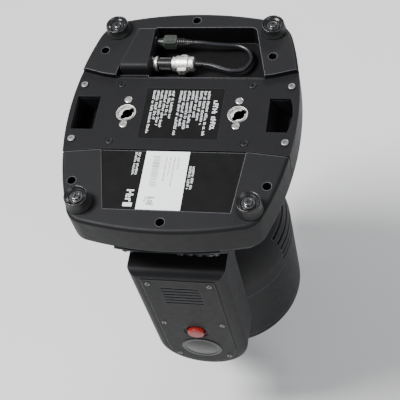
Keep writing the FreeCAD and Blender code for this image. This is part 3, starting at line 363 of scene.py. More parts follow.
def paper_label(name, color):
    """Matt paper or ink, faintly uneven."""
    s = Shader(name, color, 0.5, Specular_IOR_Level=0.4)
    s.tint(s.patches(45.0, 3.0, 0.3, 0.7), shade(color, 0.93), color)
    s.vary_roughness(300.0, 3.0, 0.42, 0.58)
    s.bump(s.noise(260.0, 3.0), 0.00005, 0.25)
    return s.material


def circuit_material():
    """Green solder mask with raised, lighter pads."""
    s = Shader("solder_mask", (0.012, 0.075, 0.03), 0.3)
    s.tint(s.spread(s.cells(420.0), 0.0, 0.35, 1.0, 0.0), (0.012, 0.075, 0.03), (0.05, 0.16, 0.06))
    s.vary_roughness(300.0, 3.0, 0.25, 0.4)
    s.bump(s.cells(420.0), 0.00008, 0.4)
    return s.material


def clear_material(name, color, roughness, cover):
    """A clear moulding shown as a thin see-through skin with a polished surface."""
    s = Shader(name, color, roughness, Alpha=cover, IOR=1.49)
    s.tint(s.noise(80.0, 2.0), shade(color, 0.95), color)
    s.vary_roughness(200.0, 3.0, roughness * 0.6, roughness * 1.6 + 0.01)
    s.bump(s.noise(60.0, 2.0), 0.00002, 0.2)
    return s.material


NEAR_BLACK = (0.010, 0.010, 0.011)
SOFT_BLACK = (0.012, 0.012, 0.012)
MATERIALS = {
    "cover_plastic": moulded("charcoal_moulding", NEAR_BLACK),
    "plate_steel": painted_steel("plate_powder_coat", NEAR_BLACK),
    "chassis_steel": painted_steel("chassis_powder_coat", SOFT_BLACK),
    "foot_rubber": soft_rubber("foot_rubber", (0.006, 0.006, 0.006), 0.25),
    "screw_steel": bright_metal("zinc_screws", (0.5, 0.5, 0.5), 0.3),
    "nickel": bright_metal("bright_nickel", (0.88, 0.86, 0.82), 0.27),
    "black_plastic": smooth_plastic("black_moulding", NEAR_BLACK, 0.32),
    "label_black": black_foil("black_foil", (0.006, 0.006, 0.006)),
    "label_white": paper_label("white_paper", (0.90, 0.91, 0.92)),
    "cable_jacket": smooth_plastic("cable_jacket", (0.012, 0.012, 0.014), 0.3),
    "sheet_aluminium": bright_metal("plain_aluminium", (0.62, 0.62, 0.63), 0.34, (1.0, 8.0, 1.0), 500.0),
    "circuit_board": circuit_material(),
    "motor_black": painted_steel("motor_lacquer", (0.02, 0.02, 0.02), 0.3),
    "belt_rubber": soft_rubber("belt_rubber", SOFT_BLACK, 0.6),
    "bearing_steel": bright_metal("ground_steel", (0.56, 0.56, 0.57), 0.2),
    "lock_plastic": smooth_plastic("lock_plastic", (0.30, 0.015, 0.012), 0.3),
    "clear_optic": clear_material("clear_acrylic", (0.80, 0.84, 0.88), 0.06, 0.6),
    "lens_glass": clear_material("front_glass", (0.05, 0.06, 0.07), 0.03, 0.16),
    "ring_plastic": painted_steel("ring_lacquer", NEAR_BLACK, 0.4),
    "fan_plastic": smooth_plastic("fan_plastic", SOFT_BLACK, 0.4),
    "button_plastic": smooth_plastic("button_plastic", (0.03, 0.03, 0.032), 0.3),
}
BLACK_OXIDE = bright_metal("black_oxide", (0.20, 0.20, 0.205), 0.22)
SATIN_NICKEL = bright_metal("satin_nickel", (0.40, 0.39, 0.37), 0.3)
WHITE_NICKEL = bright_metal("white_nickel", (0.96, 0.94, 0.90), 0.42)
PHOSPHOR = smooth_plastic("led_phosphor", (0.75, 0.62, 0.12), 0.4)
PLUG_GREY = smooth_plastic("plug_grey_green", (0.030, 0.036, 0.030), 0.42)
WHITE_INK = paper_label("white_ink", (0.72, 0.73, 0.74))
GREY_INK = paper_label("grey_ink", (0.30, 0.31, 0.33))
SCREEN = smooth_plastic("screen_glass", (0.010, 0.014, 0.020), 0.08)
FOOT_SIDE = soft_rubber("foot_side_rubber", (0.005, 0.005, 0.005), 0.55)


def dress(node_object, material):
    """Give a CAD node its material in every slot."""
    slots = node_object.data.materials
    if not slots:
        slots.append(material)
    for index in range(len(slots)):
        slots[index] = material


def soften(piece, width):
    """Round the hard edges a little; imported meshes are split there, so they're joined first."""
    weld = piece.modifiers.new("weld", "WELD")
    weld.merge_threshold = WELD_METRES
    bevel = piece.modifiers.new("soft_edges", "BEVEL")
    bevel.width = width * MM
    bevel.segments = SOFT_SEGMENTS
    bevel.limit_method = "ANGLE"
    bevel.angle_limit = math.radians(SOFT_ANGLE)
    bevel.harden_normals = True


def dress_nodes():
    """Give every CAD node a material, and soften the ones whose corners show."""
    for part in frame["record"]["subparts"]:
        dress(NODES[part["node"]], MATERIALS[part["material_slot"]])
    dress(NODES["foot_screws"], BLACK_OXIDE)
    dress(NODES["hand_cups"], MATERIALS["cover_plastic"])
    dress(NODES["data_sockets"], SATIN_NICKEL)
    dress(NODES["zoom_carriage"], MATERIALS["black_plastic"])
    # The rear cover's connector bay is painted near-black as painted shade.
    dress(NODES["rear_base_cover"], moulded("moulding_with_painted_bay_shade", NEAR_BLACK, PAINTED_SHADE_BAY_LIMITS))
    dress(NODES["case_screws"], screw_finish())
    for node_name, edge_width in SOFT_EDGES.items():
        soften(NODES[node_name], edge_width)


# ---- mesh tools ---------------------------------------------------------------------------------
# Every shape is drawn in millimetres in a local frame, and a placing matrix carries it to metres.
def at(x, y, z, z_axis=(0, 0, 1), x_axis=(1, 0, 0)):
    """A placing matrix: local Z along z_axis, local X as near x_axis as it can be."""
    up = Vector(z_axis).normalized()
    side = up.cross(Vector(x_axis)).normalized()
    basis = Matrix((side.cross(up), side, up)).transposed().to_4x4()
    return Matrix.Translation(Vector((x, y, z)) * MM) @ basis @ Matrix.Scale(MM, 4)


def moved(place, x, y, z):
    """A placing matrix shifted in its own frame."""
    return place @ Matrix.Translation((x, y, z))


def add_piece(name, bm, materials, body, sharp=32.0, edge=0.0):
    """Turn a bmesh into a piece that rides on a body."""
    bmesh.ops.recalc_face_normals(bm, faces=bm.faces)
    mesh = bpy.data.meshes.new(name)
    bm.to_mesh(mesh)
    bm.free()
    for material in materials:
        mesh.materials.append(material)
    mesh.shade_smooth()
    mesh.set_sharp_from_angle(angle=math.radians(sharp))
    piece = bpy.data.objects.new(name, mesh)
    bpy.context.scene.collection.objects.link(piece)
    if edge:
        soften(piece, edge)
    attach(piece, body)
    return piece


def lathe(bm, profile, place, segments=48, index=0):
    """Turn (radius, height) pairs about local Z. Profiles that start and end on the axis are closed."""
    rings = []
    for r, z in profile:
        count = segments if r > 0 else 1
        angles = [2 * math.pi * k / segments for k in range(count)]
        spots = [Vector((r * math.cos(a), r * math.sin(a), z)) for a in angles]
        rings.append([bm.verts.new(place @ spot) for spot in spots])
    for low, high in zip(rings, rings[1:]):
        for k in range(segments):
            after = k + 1
            loop = [low[k % len(low)], low[after % len(low)], high[after % len(high)], high[k % len(high)]]
            corners = [v for n, v in enumerate(loop) if v not in loop[:n]]
            if len(corners) > 2:
                bm.faces.new(corners).material_index = index


def slab(bm, outer, holes, z0, z1, place, index=0):
    """A flat plate between two heights with an outline and holes, all given as (x, y) loops."""
    loops = [outer] + holes
    flat = [(x, y) for loop in loops for x, y in loop]
    triangles = tessellate_polygon([[Vector((x, y, 0)) for x, y in loop] for loop in loops])
    layers = [[bm.verts.new(place @ Vector((x, y, z))) for x, y in flat] for z in (z0, z1)]
    for layer in layers:
        for triangle in triangles:
            bm.faces.new([layer[n] for n in triangle]).material_index = index
    start = 0
    for loop in loops:
        count = len(loop)
        for k in range(count):
            a, b = start + k, start + (k + 1) % count
            wall = bm.faces.new((layers[0][a], layers[0][b], layers[1][b], layers[1][a]))
            wall.material_index = index
        start += count


def circle(r, count=48, cx=0.0, cy=0.0):
    """A round outline."""
    angles = [2 * math.pi * k / count for k in range(count)]
    return [(cx + r * math.cos(a), cy + r * math.sin(a)) for a in angles]


def oblong(x0, x1, y0, y1):
    """A rectangle's outline."""
    return [(x0, y0), (x1, y0), (x1, y1), (x0, y1)]


def rounded(x0, x1, y0, y1, r, steps=6):
    """A rectangle's outline with round corners."""
    points = []
    corners = [(x1 - r, y1 - r, 0), (x0 + r, y1 - r, 90), (x0 + r, y0 + r, 180), (x1 - r, y0 + r, 270)]
    for cx, cy, start in corners:
        for k in range(steps + 1):
            a = math.radians(start + 90 * k / steps)
            points.append((cx + r * math.cos(a), cy + r * math.sin(a)))
    return points


def facet_place(side, x, along, depth=0.0):
    """A placing matrix on a sloping end face: local X across, local Z outwards, local Y towards -Y."""
    length = math.hypot(BOTTOM_INSET, BREAK_Z - BOTTOM_Z)
    run, drop = BOTTOM_INSET / length, (BREAK_Z - BOTTOM_Z) / length
    y = END_FACE[side] - 0.5 * BOTTOM_INSET - along * run - depth * drop
    z = 0.5 * (BREAK_Z + BOTTOM_Z) - along * drop + depth * run
    return at(x, side * y, z, (0, side * drop, -run))


# ---- link lead and its plugs --------------------------------------------------------------------
def link_lead():
    """The short lead: one NURBS curve on the route's points, with the lead's section."""
    curve = bpy.data.curves.new("link_lead_jacket", "CURVE")
    curve.dimensions = "3D"
    spline = curve.splines.new("NURBS")
    spline.points.add(len(LEAD_ROUTE) - 1)
    for point, place in zip(spline.points, LEAD_ROUTE):
        point.co = (*[value * MM for value in place], 1.0)
    spline.order_u = 3
    spline.use_endpoint_u = True
    spline.resolution_u = 16
    curve.bevel_depth = 0.5 * LEAD_DIAMETER * MM
    curve.bevel_resolution = 6
    curve.use_fill_caps = True
    curve.materials.append(MATERIALS["cable_jacket"])
    lead = bpy.data.objects.new("link_lead_jacket", curve)
    bpy.context.scene.collection.objects.link(lead)
    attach(lead, "base")
    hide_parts("link_lead")
    return lead


def knurl(bm, r, z0, z1, count, place, index):
    """Raised ribs along a round grip."""
    half = 0.9 * math.pi * r / count * 0.6
    profile = [(0.0, -half), (0.45, -0.5 * half), (0.45, 0.5 * half), (0.0, half)]
    for k in range(count):
        a = 2 * math.pi * k / count
        rib = moved(place, r * math.cos(a), r * math.sin(a), 0) @ Matrix.Rotation(a, 4, "Z")
        slab(bm, profile, [], z0, z1, rib, index)


def boot(bm, place, start, r_start, r_end, index):
    """A tapered strain relief with four grooves round it."""
    grooves = 4
    profile = [(0, start), (r_start, start)]
    for k in range(grooves):
        r = r_start + (r_end - r_start) * (k + 0.5) / grooves
        z = start + 0.8 + 2.2 * k
        profile += [(r, z), (r, z + 1.3), (r - 0.55, z + 1.5), (r - 0.55, z + 2.0)]
    profile += [(r_end, start + 9.8), (0, start + 9.8)]
    lathe(bm, profile, place, 32, index)


def lower_plug():
    """Latching connector: nickel nose ring, dark knurled barrel, nickel body with a release tab."""
    y, z = LOWER_PLUG
    place = at(0, y, z, (1, 0, 0), (0, 0, 1))
    upright = at(0, y, z)
    nose = [(0, PLUG_NOSE), (7.0, PLUG_NOSE), (7.2, -41.2), (7.2, -40.1), (8.0, -39.9), (8.2, -39.6),
            (8.2, -38.0), (7.9, -37.6), (6.6, -37.4), (0, -37.4)]
    barrel = [(0, -37.6), (6.6, -37.6), (6.6, -36.4), (6.2, -36.0), (6.2, -22.4), (6.6, -22.0), (6.6, -20.8),
              (0, -20.8)]
    shell = [(0, -21.6), (6.8, -21.6), (7.6, -21.0), (7.6, -18.6), (7.0, -18.2), (7.0, -17.6), (8.6, -17.0),
             (8.9, -16.4), (8.9, -4.2), (8.2, -3.4), (7.6, -2.8), (7.6, -2.2), (8.0, -1.8), (8.0, 1.2),
             (7.4, 2.0), (5.4, 2.4), (0, 2.4)]
    bm = bmesh.new()
    lathe(bm, nose, place, 56, 0)
    lathe(bm, barrel, place, 56, 1)
    knurl(bm, 6.2, -35.4, -23.0, 26, place, 1)
    lathe(bm, shell, place, 56, 0)
    slab(bm, rounded(-14.4, -5.4, -12.0, -5.0, 2.0), [], -2.8, 3.4, upright, 0)
    slab(bm, rounded(-13.0, -6.8, -11.2, -9.8, 0.6), [], -3.1, 3.8, upright, 0)
    slab(bm, rounded(-13.4, -6.4, 5.0, 10.4, 1.6), [], -2.4, 2.8, upright, 0)
    boot(bm, place, 2.0, 4.4, 2.9, 1)
    finishes = [WHITE_NICKEL, MATERIALS["black_plastic"]]
    piece = add_piece("lower_plug_body", bm, finishes, "base", edge=0.18)
    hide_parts("link_plug_lower")
    return piece


def upper_plug():
    """Moulded connector: body with flats, ribbed collar and a boot."""
    y, z = UPPER_PLUG
    place = at(0, y, z, (1, 0, 0), (0, 0, 1))
    upright = at(0, y, z)
    nose = [(0, PLUG_NOSE), (4.8, PLUG_NOSE), (5.2, -41.5), (5.2, -35.2), (0, -35.2)]
    barrel = [(0, -35.4), (5.4, -35.4), (5.8, -34.9), (5.8, -20.6), (5.4, -20.0), (0, -20.0)]
    bm = bmesh.new()
    lathe(bm, nose, place, 40, 1)
    lathe(bm, barrel, place, 40, 0)
    slab(bm, rounded(-34.4, -20.6, -5.8, 5.8, 1.8), [], -4.4, 5.6, upright, 0)
    slab(bm, rounded(-31.0, -24.0, -3.4, 3.4, 1.0), [], 5.5, 6.1, upright, 0)
    for k in range(4):
        start = -19.9 + 2.1 * k
        rib = [(0, start), (4.7, start), (5.2, start + 0.4), (5.2, start + 1.4), (4.7, start + 1.8),
               (0, start + 1.8)]
        lathe(bm, rib, place, 40, 1)
    lathe(bm, [(0, -20.2), (4.3, -20.2), (4.3, -11.0), (0, -11.0)], place, 40, 1)
    boot(bm, place, -11.8, 4.2, 2.9, 1)
    finishes = [PLUG_GREY, MATERIALS["black_plastic"]]
    piece = add_piece("upper_plug_body", bm, finishes, "base", edge=0.18)
    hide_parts("link_plug_upper")
    return piece


# ---- base: feet, receptacles and prints ---------------------------------------------------------
def rubber_feet():
    """Turned feet with a foot ring, a raised lip and a dished, polished top around the screw."""
    lip = FOOT_R - 1.2
    top = [(lip, 15.4), (FOOT_R - 1.3, 15.9), (FOOT_R - 1.6, 16.35), (FOOT_R - 2.0, FOOT_TOP),
           (FOOT_R - 2.5, 16.35), (FOOT_R - 2.8, 15.8), (FOOT_R - 3.4, 15.0), (FOOT_R - 4.6, 14.1),
           (7.6, 13.6), (7.25, 13.2), (7.2, 12.5), (0, 12.5)]
    bm = bmesh.new()
    for y, z0 in FOOT_ROWS:
        side = [(0, z0 + 0.02), (FOOT_R - 0.3, z0 + 0.02), (FOOT_R, z0 + 0.4), (FOOT_R, z0 + 1.6),
                (FOOT_R - 0.5, z0 + 2.1), (FOOT_R - 1.1, 13.4), (lip, 15.4)]
        for x in (-FOOT_X, FOOT_X):
            lathe(bm, side, at(x, y, 0), 72, 1)
            lathe(bm, top, at(x, y, 0), 72, 0)
    bmesh.ops.remove_doubles(bm, verts=bm.verts, dist=0.000001)
    finishes = [MATERIALS["foot_rubber"], FOOT_SIDE]
    piece = add_piece("turned_feet", bm, finishes, "base", sharp=50.0)
    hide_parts("rubber_feet")


def hood_shell():
    """The hood over the bay's two sockets: a slanted left side and a well-rounded front lip."""
    steps = 8
    profile = [(HOOD_REAR, HOOD_BOTTOM), (HOOD_REAR, HOOD_TOP)]
    for k in range(steps + 1):
        a = math.radians(90 + 90 * k / steps)
        y = HOOD_FRONT + HOOD_LIP_R + HOOD_LIP_R * math.cos(a)
        profile.append((y, HOOD_TOP - HOOD_LIP_R + HOOD_LIP_R * math.sin(a)))
    profile.append((HOOD_FRONT, HOOD_BOTTOM))
    bm = bmesh.new()
    rows = []
    for y, z in profile:
        left = HOOD_LEFT + HOOD_SLANT * (y - HOOD_FRONT) / (HOOD_REAR - HOOD_FRONT)
        rows.append([bm.verts.new(Vector((x, y, z)) * MM) for x in (left, HOOD_RIGHT)])
    for row, after in zip(rows, rows[1:] + rows[:1]):
        bm.faces.new((row[0], row[1], after[1], after[0]))
    for side in (0, 1):
        bm.faces.new([row[side] for row in rows])
    piece = add_piece("hood_shell", bm, [MATERIALS["cover_plastic"]], "base", edge=1.1)
    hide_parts("socket_hood")


def keyhole(r, lobe_r, turn):
    """A round hole with two opposite round-ended lobes, whose centres lie on its rim."""
    points = []
    for side in (0, 1):
        axis = turn + math.pi * side
        half = math.asin(lobe_r / r)
        for k in range(7):
            a = axis - math.pi + half + (math.pi - 2 * half) * k / 6
            points.append((r * math.cos(a), r * math.sin(a)))
        cx, cy = r * math.cos(axis), r * math.sin(axis)
        for k in range(9):
            a = axis - math.pi / 2 + math.pi * k / 8
            points.append((cx + lobe_r * math.cos(a), cy + lobe_r * math.sin(a)))
    return points


def receptacles():
    """Quarter-turn receptacles: spring plate, dished nickel face with a keyhole, and a nickel cup behind it;
    the black groove ring and the cup's black lining are painted shade.
    """
    shift_x, shift_y = KEYHOLE_SHIFT
    outline = keyhole(KEYHOLE_R, KEYHOLE_LOBE_R, math.radians(KEYHOLE_TURN))
    hole = [(x + shift_x, y + shift_y) for x, y in outline]
    dish = [(10.6, -3.4), (10.7, -0.9), (10.4, -0.5), (9.9, -0.6), (9.5, -1.6), (9.1, -2.2)]
    groove = [(8.6, -2.2), (8.4, -1.75), (8.0, -1.7), (7.8, -2.2)]
    cup = [(11.8, -5.0), (11.8, -15.2), (11.0, -16.0), (0, -16.0)]
    shade_lining = [(9.8, -4.9), (9.8, -13.0), (0, -13.6)]
    bm = bmesh.new()
    for side in (-1, 1):
        place = at(side * RECEPTACLE_X, 0, 0)
        slab(bm, circle(10.6, 72), [hole], -3.4, -2.2, place, 0)
        lathe(bm, dish, place, 72, 0)
        # The groove ring takes the black foil: painted shade in the groove.
        lathe(bm, groove, place, 72, 1)
        slab(bm, rounded(-13, 13, -20, 20, 3.0), [circle(9.8, 48)], -5.0, -3.05, place, 0)
        lathe(bm, cup, place, 48, 0)
        # The cup's black lining is painted shade inside the keyhole.
        lathe(bm, shade_lining, place, 48, 1)
    finishes = [WHITE_NICKEL, MATERIALS["label_black"]]
    piece = add_piece("receptacle_faces", bm, finishes, "base", edge=0.12)
    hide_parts("cam_receptacles")


def text_line(bm, rng, x, y_start, y_end, height, z):
    """One line of generic marks along Y: stems with short bars in word-like groups, no letters."""
    place = at(0, 0, 0)
    pitch = 0.66 * height
    stroke = 0.24 * height
    y = y_start
    word = rng.randint(3, 8)
    while y > y_end:
        tall = height * rng.choice((0.7, 0.85, 1.0))
        strokes = [(x, x + tall, y - stroke, y)]
        for level in rng.sample((0.0, 0.4, 0.76), rng.choice((1, 2))):
            foot = x + level * tall
            strokes.append((foot, foot + stroke, y - 0.8 * pitch, y - 0.5 * stroke))
        for limits in strokes:
            slab(bm, oblong(*limits), [], z, z + PRINT_T, place)
        y -= pitch
        word -= 1
        if word == 0:
            y -= 0.9 * pitch
            word = rng.randint(2, 8)


def info_print():
    """White print on the black foil: two blocks of ragged lines and one bold line."""
    rng = random.Random(11)
    bm = bmesh.new()
    start = 28.5
    left = [-27.0, -9.0, -15.0, -17.0, -3.0, -6.0]
    right = [-28.0, -16.0, -20.0, -17.0, -5.0, -9.0, -13.0, -27.0]
    for first, pitch, ends in ((-33.5, 4.1, left), (-5.0, 4.3, right)):
        for k, end in enumerate(ends):
            text_line(bm, rng, first + pitch * k, start, end, 2.9, 0.0)
    text_line(bm, rng, 32.2, 16.5, -18.0, 5.2, 0.0)
    add_piece("info_marks", bm, [WHITE_INK], "base")


def panel_print():
    """White marks on the sunk panel beside the sticker."""
    rng = random.Random(5)
    bm = bmesh.new()
    z = PANEL_Z + 0.1
    for x in (-38.5, -35.2):
        text_line(bm, rng, x, -50.5, -77.5, 2.6, z)
    text_line(bm, rng, -39.5, -95.0, -106.0, 7.5, z)
    slab(bm, rounded(-41.0, -31.5, -114.5, -110.0, 0.6), [], z, z + PRINT_T, at(0, 0, 0))
    for x in (19.3, 22.6):
        text_line(bm, rng, x, -66.0, -92.5, 2.6, z)
    add_piece("panel_marks", bm, [WHITE_INK], "base")


def rating_print():
    """Grey print on the white sticker: a bar code, a square code and a few short lines."""
    rng = random.Random(23)
    bm = bmesh.new()
    z = PANEL_Z + LABEL_T
    place = at(0, 0, 0)
    cells = 8
    y = -55.0
    while y > -90.0:
        bar = rng.choice((0.5, 0.8, 1.2))
        slab(bm, oblong(-18.5, -11.5, y - bar, y), [], z, z + INK_T, place)
        y -= bar + rng.choice((0.5, 0.7, 1.1))
    for column in range(cells):
        for row in range(cells):
            if rng.random() < 0.5:
                x0, y0 = -20.5 + 1.25 * column, -112.5 + 1.25 * row
                slab(bm, oblong(x0, x0 + 1.2, y0, y0 + 1.2), [], z, z + INK_T, place)
    for k, end in enumerate((-84.0, -78.0, -90.0, -70.0)):
        text_line(bm, rng, -6.0 + 4.2 * k, -56.0, end, 1.7, z)
    add_piece("sticker_marks", bm, [GREY_INK], "base")


def panel_foil():
    """The sunk front panel's smooth black foil."""
    bm = bmesh.new()
    slab(bm, FRONT_PANEL, [], PANEL_Z + 0.02, PANEL_Z + 0.1, at(0, 0, 0))
    add_piece("panel_foil", bm, [MATERIALS["label_black"]], "base")


# ---- base: the two sloping ends -----------------------------------------------------------------
def display_window():
    """Glossy window with a thin frame in the display panel's recess."""
    bm = bmesh.new()
    place = facet_place(-1, 0, 0, -0.35)
    opening = rounded(-38.0, -2.0, -7.4, 9.4, 1.0)
    slab(bm, rounded(-40.6, 0.6, -9.6, 11.6, 1.5), [opening], 0.0, 0.9, place, 0)
    slab(bm, rounded(-38.6, -1.4, -8.0, 10.0, 1.0), [], 0.0, 0.5, place, 1)
    finishes = [MATERIALS["black_plastic"], SCREEN]
    add_piece("display_window", bm, finishes, "base", edge=0.15)


def button_marks():
    """A small raised mark on each key: left, up, down and enter."""
    arrow = [(-1.5, -1.2), (1.5, -1.2), (0.0, 1.5)]
    marks = [(arrow, 90), (arrow, 180), (arrow, 0), (circle(1.5, 24), 0)]
    for number, (x, (outline, turn)) in enumerate(zip(BUTTON_X, marks), 1):
        place = facet_place(-1, x, 0, -3.0) @ Matrix.Rotation(math.radians(turn), 4, "Z")
        bm = bmesh.new()
        slab(bm, outline, [], -0.05, 0.12, place)
        add_piece("button_mark_%d" % number, bm, [GREY_INK], "button_%d" % number)


def hex_screw(bm, place, r, height):
    """Button head with a hexagon recess; it stands on local Z = 0."""
    socket = 0.5 * r
    low, high = 0.35 * height, 0.8 * height
    slab(bm, circle(r, 32), [circle(socket, 6)], low, high, place)
    lathe(bm, [(r, low), (1.06 * r, 0.0), (0, 0.0)], place, 32)
    lathe(bm, [(r, high), (0.86 * r, height), (0.56 * r, height), (socket, high)], place, 32)
    lathe(bm, [(0, 0.3 * height), (socket, 0.3 * height)], place, 6)


def end_screws():
    """Fixing screws of the display panel and of the four chassis sockets."""
    bm = bmesh.new()
    for x in (-44.0, 44.0):
        for along in (-12.2, 10.2):
            hex_screw(bm, facet_place(-1, x, along, -1.4), *PANEL_SCREW)
    for x in SOCKET_X:
        for sign in (-1, 1):
            hex_screw(bm, facet_place(1, x + sign * 10.6, sign * -12.8, -2.6), *SOCKET_SCREW)
    add_piece("end_face_screws", bm, [BLACK_OXIDE], "base")


# ---- yoke and head ------------------------------------------------------------------------------
def arm_outline(inset, side):
    """An arm's outer face seen square on: straight sides and a half circle about the tilt axis."""
    steps = 28
    r = ARM_HALF_X - inset
    top = YOKE_TOP - inset
    points = [(r, top), (-r, top)]
    for k in range(steps + 1):
        a = math.pi + math.pi * k / steps
        points.append((r * math.cos(a), TILT_Z + r * math.sin(a)))
    return [(x, -side * z) for x, z in points]


def arm_holes(side):
    """The cooling slots, and on the free arm the tilt lock's hole."""
    holes = []
    for k in range(ARM_SLOTS):
        z = ARM_SLOT_TOP - ARM_SLOT_PITCH * k
        y0, y1 = sorted((-side * z, -side * (z - ARM_SLOT_WIDTH)))
        holes.append(rounded(-21.0, 21.0, y0, y1, 1.3, 3))
    if side < 0:
        holes.append(circle(14.6, 56, 0.0, TILT_Z + LOCK_RING_R))
    return holes


def arm_panels():
    """A raised panel on each arm with cooling slots over a black mesh, hex screws and a hub cap."""
    cap = [(0, 0.8), (23.0, 0.8), (23.0, 1.5), (22.2, 2.0), (19.4, 2.0), (18.8, 1.5), (18.2, 1.5),
           (17.4, 1.9), (3.0, 2.4), (0, 2.4)]
    finishes = [MATERIALS["cover_plastic"], MATERIALS["label_black"], MATERIALS["black_plastic"]]
    for side, name in ((1, "drive"), (-1, "free")):
        place = at(0, side * ARM_OUTER, 0, (0, side, 0))
        bm = bmesh.new()
        slab(bm, arm_outline(12.5, side), arm_holes(side), -0.3, 0.9, place, 0)
        y0, y1 = sorted(side * end for end in ARM_MESH)
        slab(bm, rounded(-24.0, 24.0, y0, y1, 2.0), [], -0.2, 0.12, place, 1)
        lathe(bm, cap, moved(place, 0, -side * TILT_Z, 0), 72, 2)
        add_piece("%s_arm_panel" % name, bm, finishes, "yoke", edge=0.3)
        bm = bmesh.new()
        for x, z in ARM_SCREWS:
            hex_screw(bm, moved(place, x, -side * z, 0.9), *COVER_SCREW)
        add_piece("%s_arm_screws" % name, bm, [BLACK_OXIDE], "yoke")


def crown_screws():
    """Fixing screws along both sides of the yoke's crown."""
    bm = bmesh.new()
    for side in (-1, 1):
        for y in (-72.0, -38.0, 38.0, 72.0):
            place = at(side * ARM_HALF_X, y, CROWN_SCREW_Z, (side, 0, 0), (0, 1, 0))
            hex_screw(bm, place, *COVER_SCREW)
    add_piece("crown_screws", bm, [BLACK_OXIDE], "yoke")


def lock_grips():
    """Ribbed grips on the two transport locks."""
    finishes = [MATERIALS["lock_plastic"]]
    place = at(*PAN_LOCK, (-1, 0, 0), (0, 1, 0))
    bm = bmesh.new()
    for k in range(5):
        y = -5.6 + 2.8 * k
        slab(bm, rounded(y - 0.6, y + 0.6, -6.4, 6.4, 0.5, 3), [], -0.2, 0.7, place)
    add_piece("pan_lock_grip", bm, finishes, "pan_lock_slider", edge=0.15)
    place = at(0, -ARM_OUTER - 4.5, TILT_Z + LOCK_RING_R, (0, -1, 0))
    bm = bmesh.new()
    lathe(bm, [(0, -0.1), (6.6, -0.1), (6.4, 0.4), (0, 0.6)], place, 40)
    knurl(bm, 9.4, -4.2, -1.4, 22, place, 0)
    add_piece("tilt_lock_grip", bm, finishes, "tilt_lock_plunger", edge=0.15)


def led_places():
    """One lens in the middle, six around it and twelve around those."""
    places = [(0.0, 0.0)]
    for count, radius, turn in ((6, 21.0, 0.0), (12, 42.0, math.pi / 12)):
        angles = [2 * math.pi * k / count + turn for k in range(count)]
        places += [(radius * math.cos(a), radius * math.sin(a)) for a in angles]
    return places


def lens_array():
    """Convex zoom lenses on the carriage and the yellow dies on the LED board."""
    lenses = bmesh.new()
    dies = bmesh.new()
    dome = [(9.4, 0.02), (9.3, 1.2), (8.2, 2.7), (6.2, 4.0), (3.4, 4.9), (1.5, 5.2), (0, 5.3)]
    profile = [(0, LENS_SEAT + 0.02)] + [(r, LENS_SEAT + z) for r, z in dome]
    for x, y in led_places():
        place = at(x, y, TILT_Z, (0, 0, -1))
        lathe(lenses, profile, place, 40)
        slab(dies, rounded(-1.7, 1.7, -1.7, 1.7, 0.3, 3), [], DIE_BASE, DIE_TOP, place)
    optic = [MATERIALS["clear_optic"]]
    add_piece("zoom_lenses", lenses, optic, "zoom_lens_carriage", sharp=50.0)
    add_piece("led_dies", dies, [PHOSPHOR], "head")


def ring_screws():
    """Eight screws round the head's front ring."""
    count = 8
    bm = bmesh.new()
    for k in range(count):
        a = math.radians(360.0 / count * (k + 0.5))
        x, y = RING_SCREW_R * math.cos(a), RING_SCREW_R * math.sin(a)
        hex_screw(bm, at(x, y, TILT_Z - RING_END, (0, 0, -1)), *RING_SCREW)
    add_piece("ring_screws", bm, [BLACK_OXIDE], "head")


# ---- camera, lights and floor, in metres --------------------------------------------------------
EYE = Vector((0.2472, -0.6106, 0.8168))
VIEW_FORWARD = Vector((-0.0179, 0.6016, -0.7986)).normalized()
VIEW_RIGHT = Vector((0.9996, 0.0297, 0.0)).normalized()
FLOOR_Z = -0.46
FLOOR_HALF = 6.0


def make_camera(target, lens):
    """The station point of the view, turned by the smallest turn that centres the object."""
    up = VIEW_RIGHT.cross(VIEW_FORWARD)
    basis = Matrix((VIEW_RIGHT, up, -VIEW_FORWARD)).transposed()
    turn = VIEW_FORWARD.rotation_difference((Vector(target) - EYE).normalized())
    camera = bpy.data.objects.new("camera", bpy.data.cameras.new("camera"))
    bpy.context.scene.collection.objects.link(camera)
    camera.rotation_mode = "QUATERNION"
    camera.location = EYE
    camera.rotation_quaternion = turn @ basis.to_quaternion()
    camera.data.lens = lens
    camera.data.clip_start = 0.01
    camera.data.clip_end = 50.0
    bpy.context.scene.camera = camera


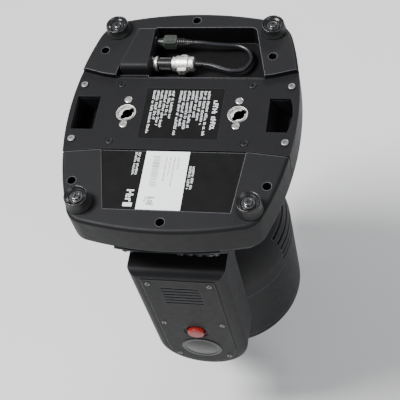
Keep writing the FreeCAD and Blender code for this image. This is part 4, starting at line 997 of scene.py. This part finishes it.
def area_light(name, place, target, size, power):
    """A soft rectangular light that faces its target."""
    light = bpy.data.lights.new(name, "AREA")
    light.shape = "RECTANGLE"
    light.size, light.size_y = size
    light.energy = power
    lamp = bpy.data.objects.new(name, light)
    bpy.context.scene.collection.objects.link(lamp)
    lamp.location = place
    lamp.rotation_mode = "QUATERNION"
    lamp.rotation_quaternion = (Vector(target) - Vector(place)).to_track_quat("-Z", "Y")


def make_floor():
    """A plain pale floor that can be seen through from below."""
    mesh = bpy.data.meshes.new("floor")
    corners = [(x, y, FLOOR_Z) for x, y in oblong(-FLOOR_HALF, FLOOR_HALF, -FLOOR_HALF, FLOOR_HALF)]
    mesh.from_pydata(corners, [], [(0, 1, 2, 3)])
    floor = bpy.data.objects.new("floor", mesh)
    bpy.context.scene.collection.objects.link(floor)
    s = Shader("floor_paint", (0.74, 0.74, 0.73), 0.6)
    s.tint(s.noise(3.0, 3.0), (0.72, 0.72, 0.71), (0.78, 0.78, 0.77))
    see_through = s.add("ShaderNodeMixShader")
    s.link(s.add("ShaderNodeNewGeometry").outputs["Backfacing"], see_through.inputs["Fac"])
    s.link(s.bsdf.outputs["BSDF"], see_through.inputs[1])
    s.link(s.add("ShaderNodeBsdfTransparent").outputs["BSDF"], see_through.inputs[2])
    s.link(see_through.outputs["Shader"], s.out.inputs["Surface"])
    mesh.materials.append(s.material)


def make_world():
    """Even, faintly cool light from all round."""
    world = bpy.data.worlds.new("world")
    bpy.context.scene.world = world
    world.use_nodes = True
    background = world.node_tree.nodes["Background"]
    background.inputs["Color"].default_value = (0.9, 0.93, 1.0, 1.0)
    background.inputs["Strength"].default_value = 0.4


dress_nodes()
make_camera((0.0, -0.02, -0.135), 92.0)
plugs = [upper_plug(), lower_plug()]
link_lead()
rubber_feet()
hood_shell()
receptacles()
info_print()
panel_foil()
panel_print()
rating_print()
display_window()
button_marks()
end_screws()
arm_panels()
crown_screws()
lock_grips()
lens_array()
ring_screws()
make_floor()
make_world()
area_light("key", (-0.9, -0.2, 1.7), (0.0, 0.0, -0.05), (0.7, 0.7), 80.0)
area_light("fill", (1.2, -0.9, 0.9), (0.0, 0.0, -0.15), (1.2, 1.0), 8.0)
area_light("rim", (0.4, 1.5, 0.8), (0.0, 0.0, -0.1), (0.8, 0.5), 14.0)
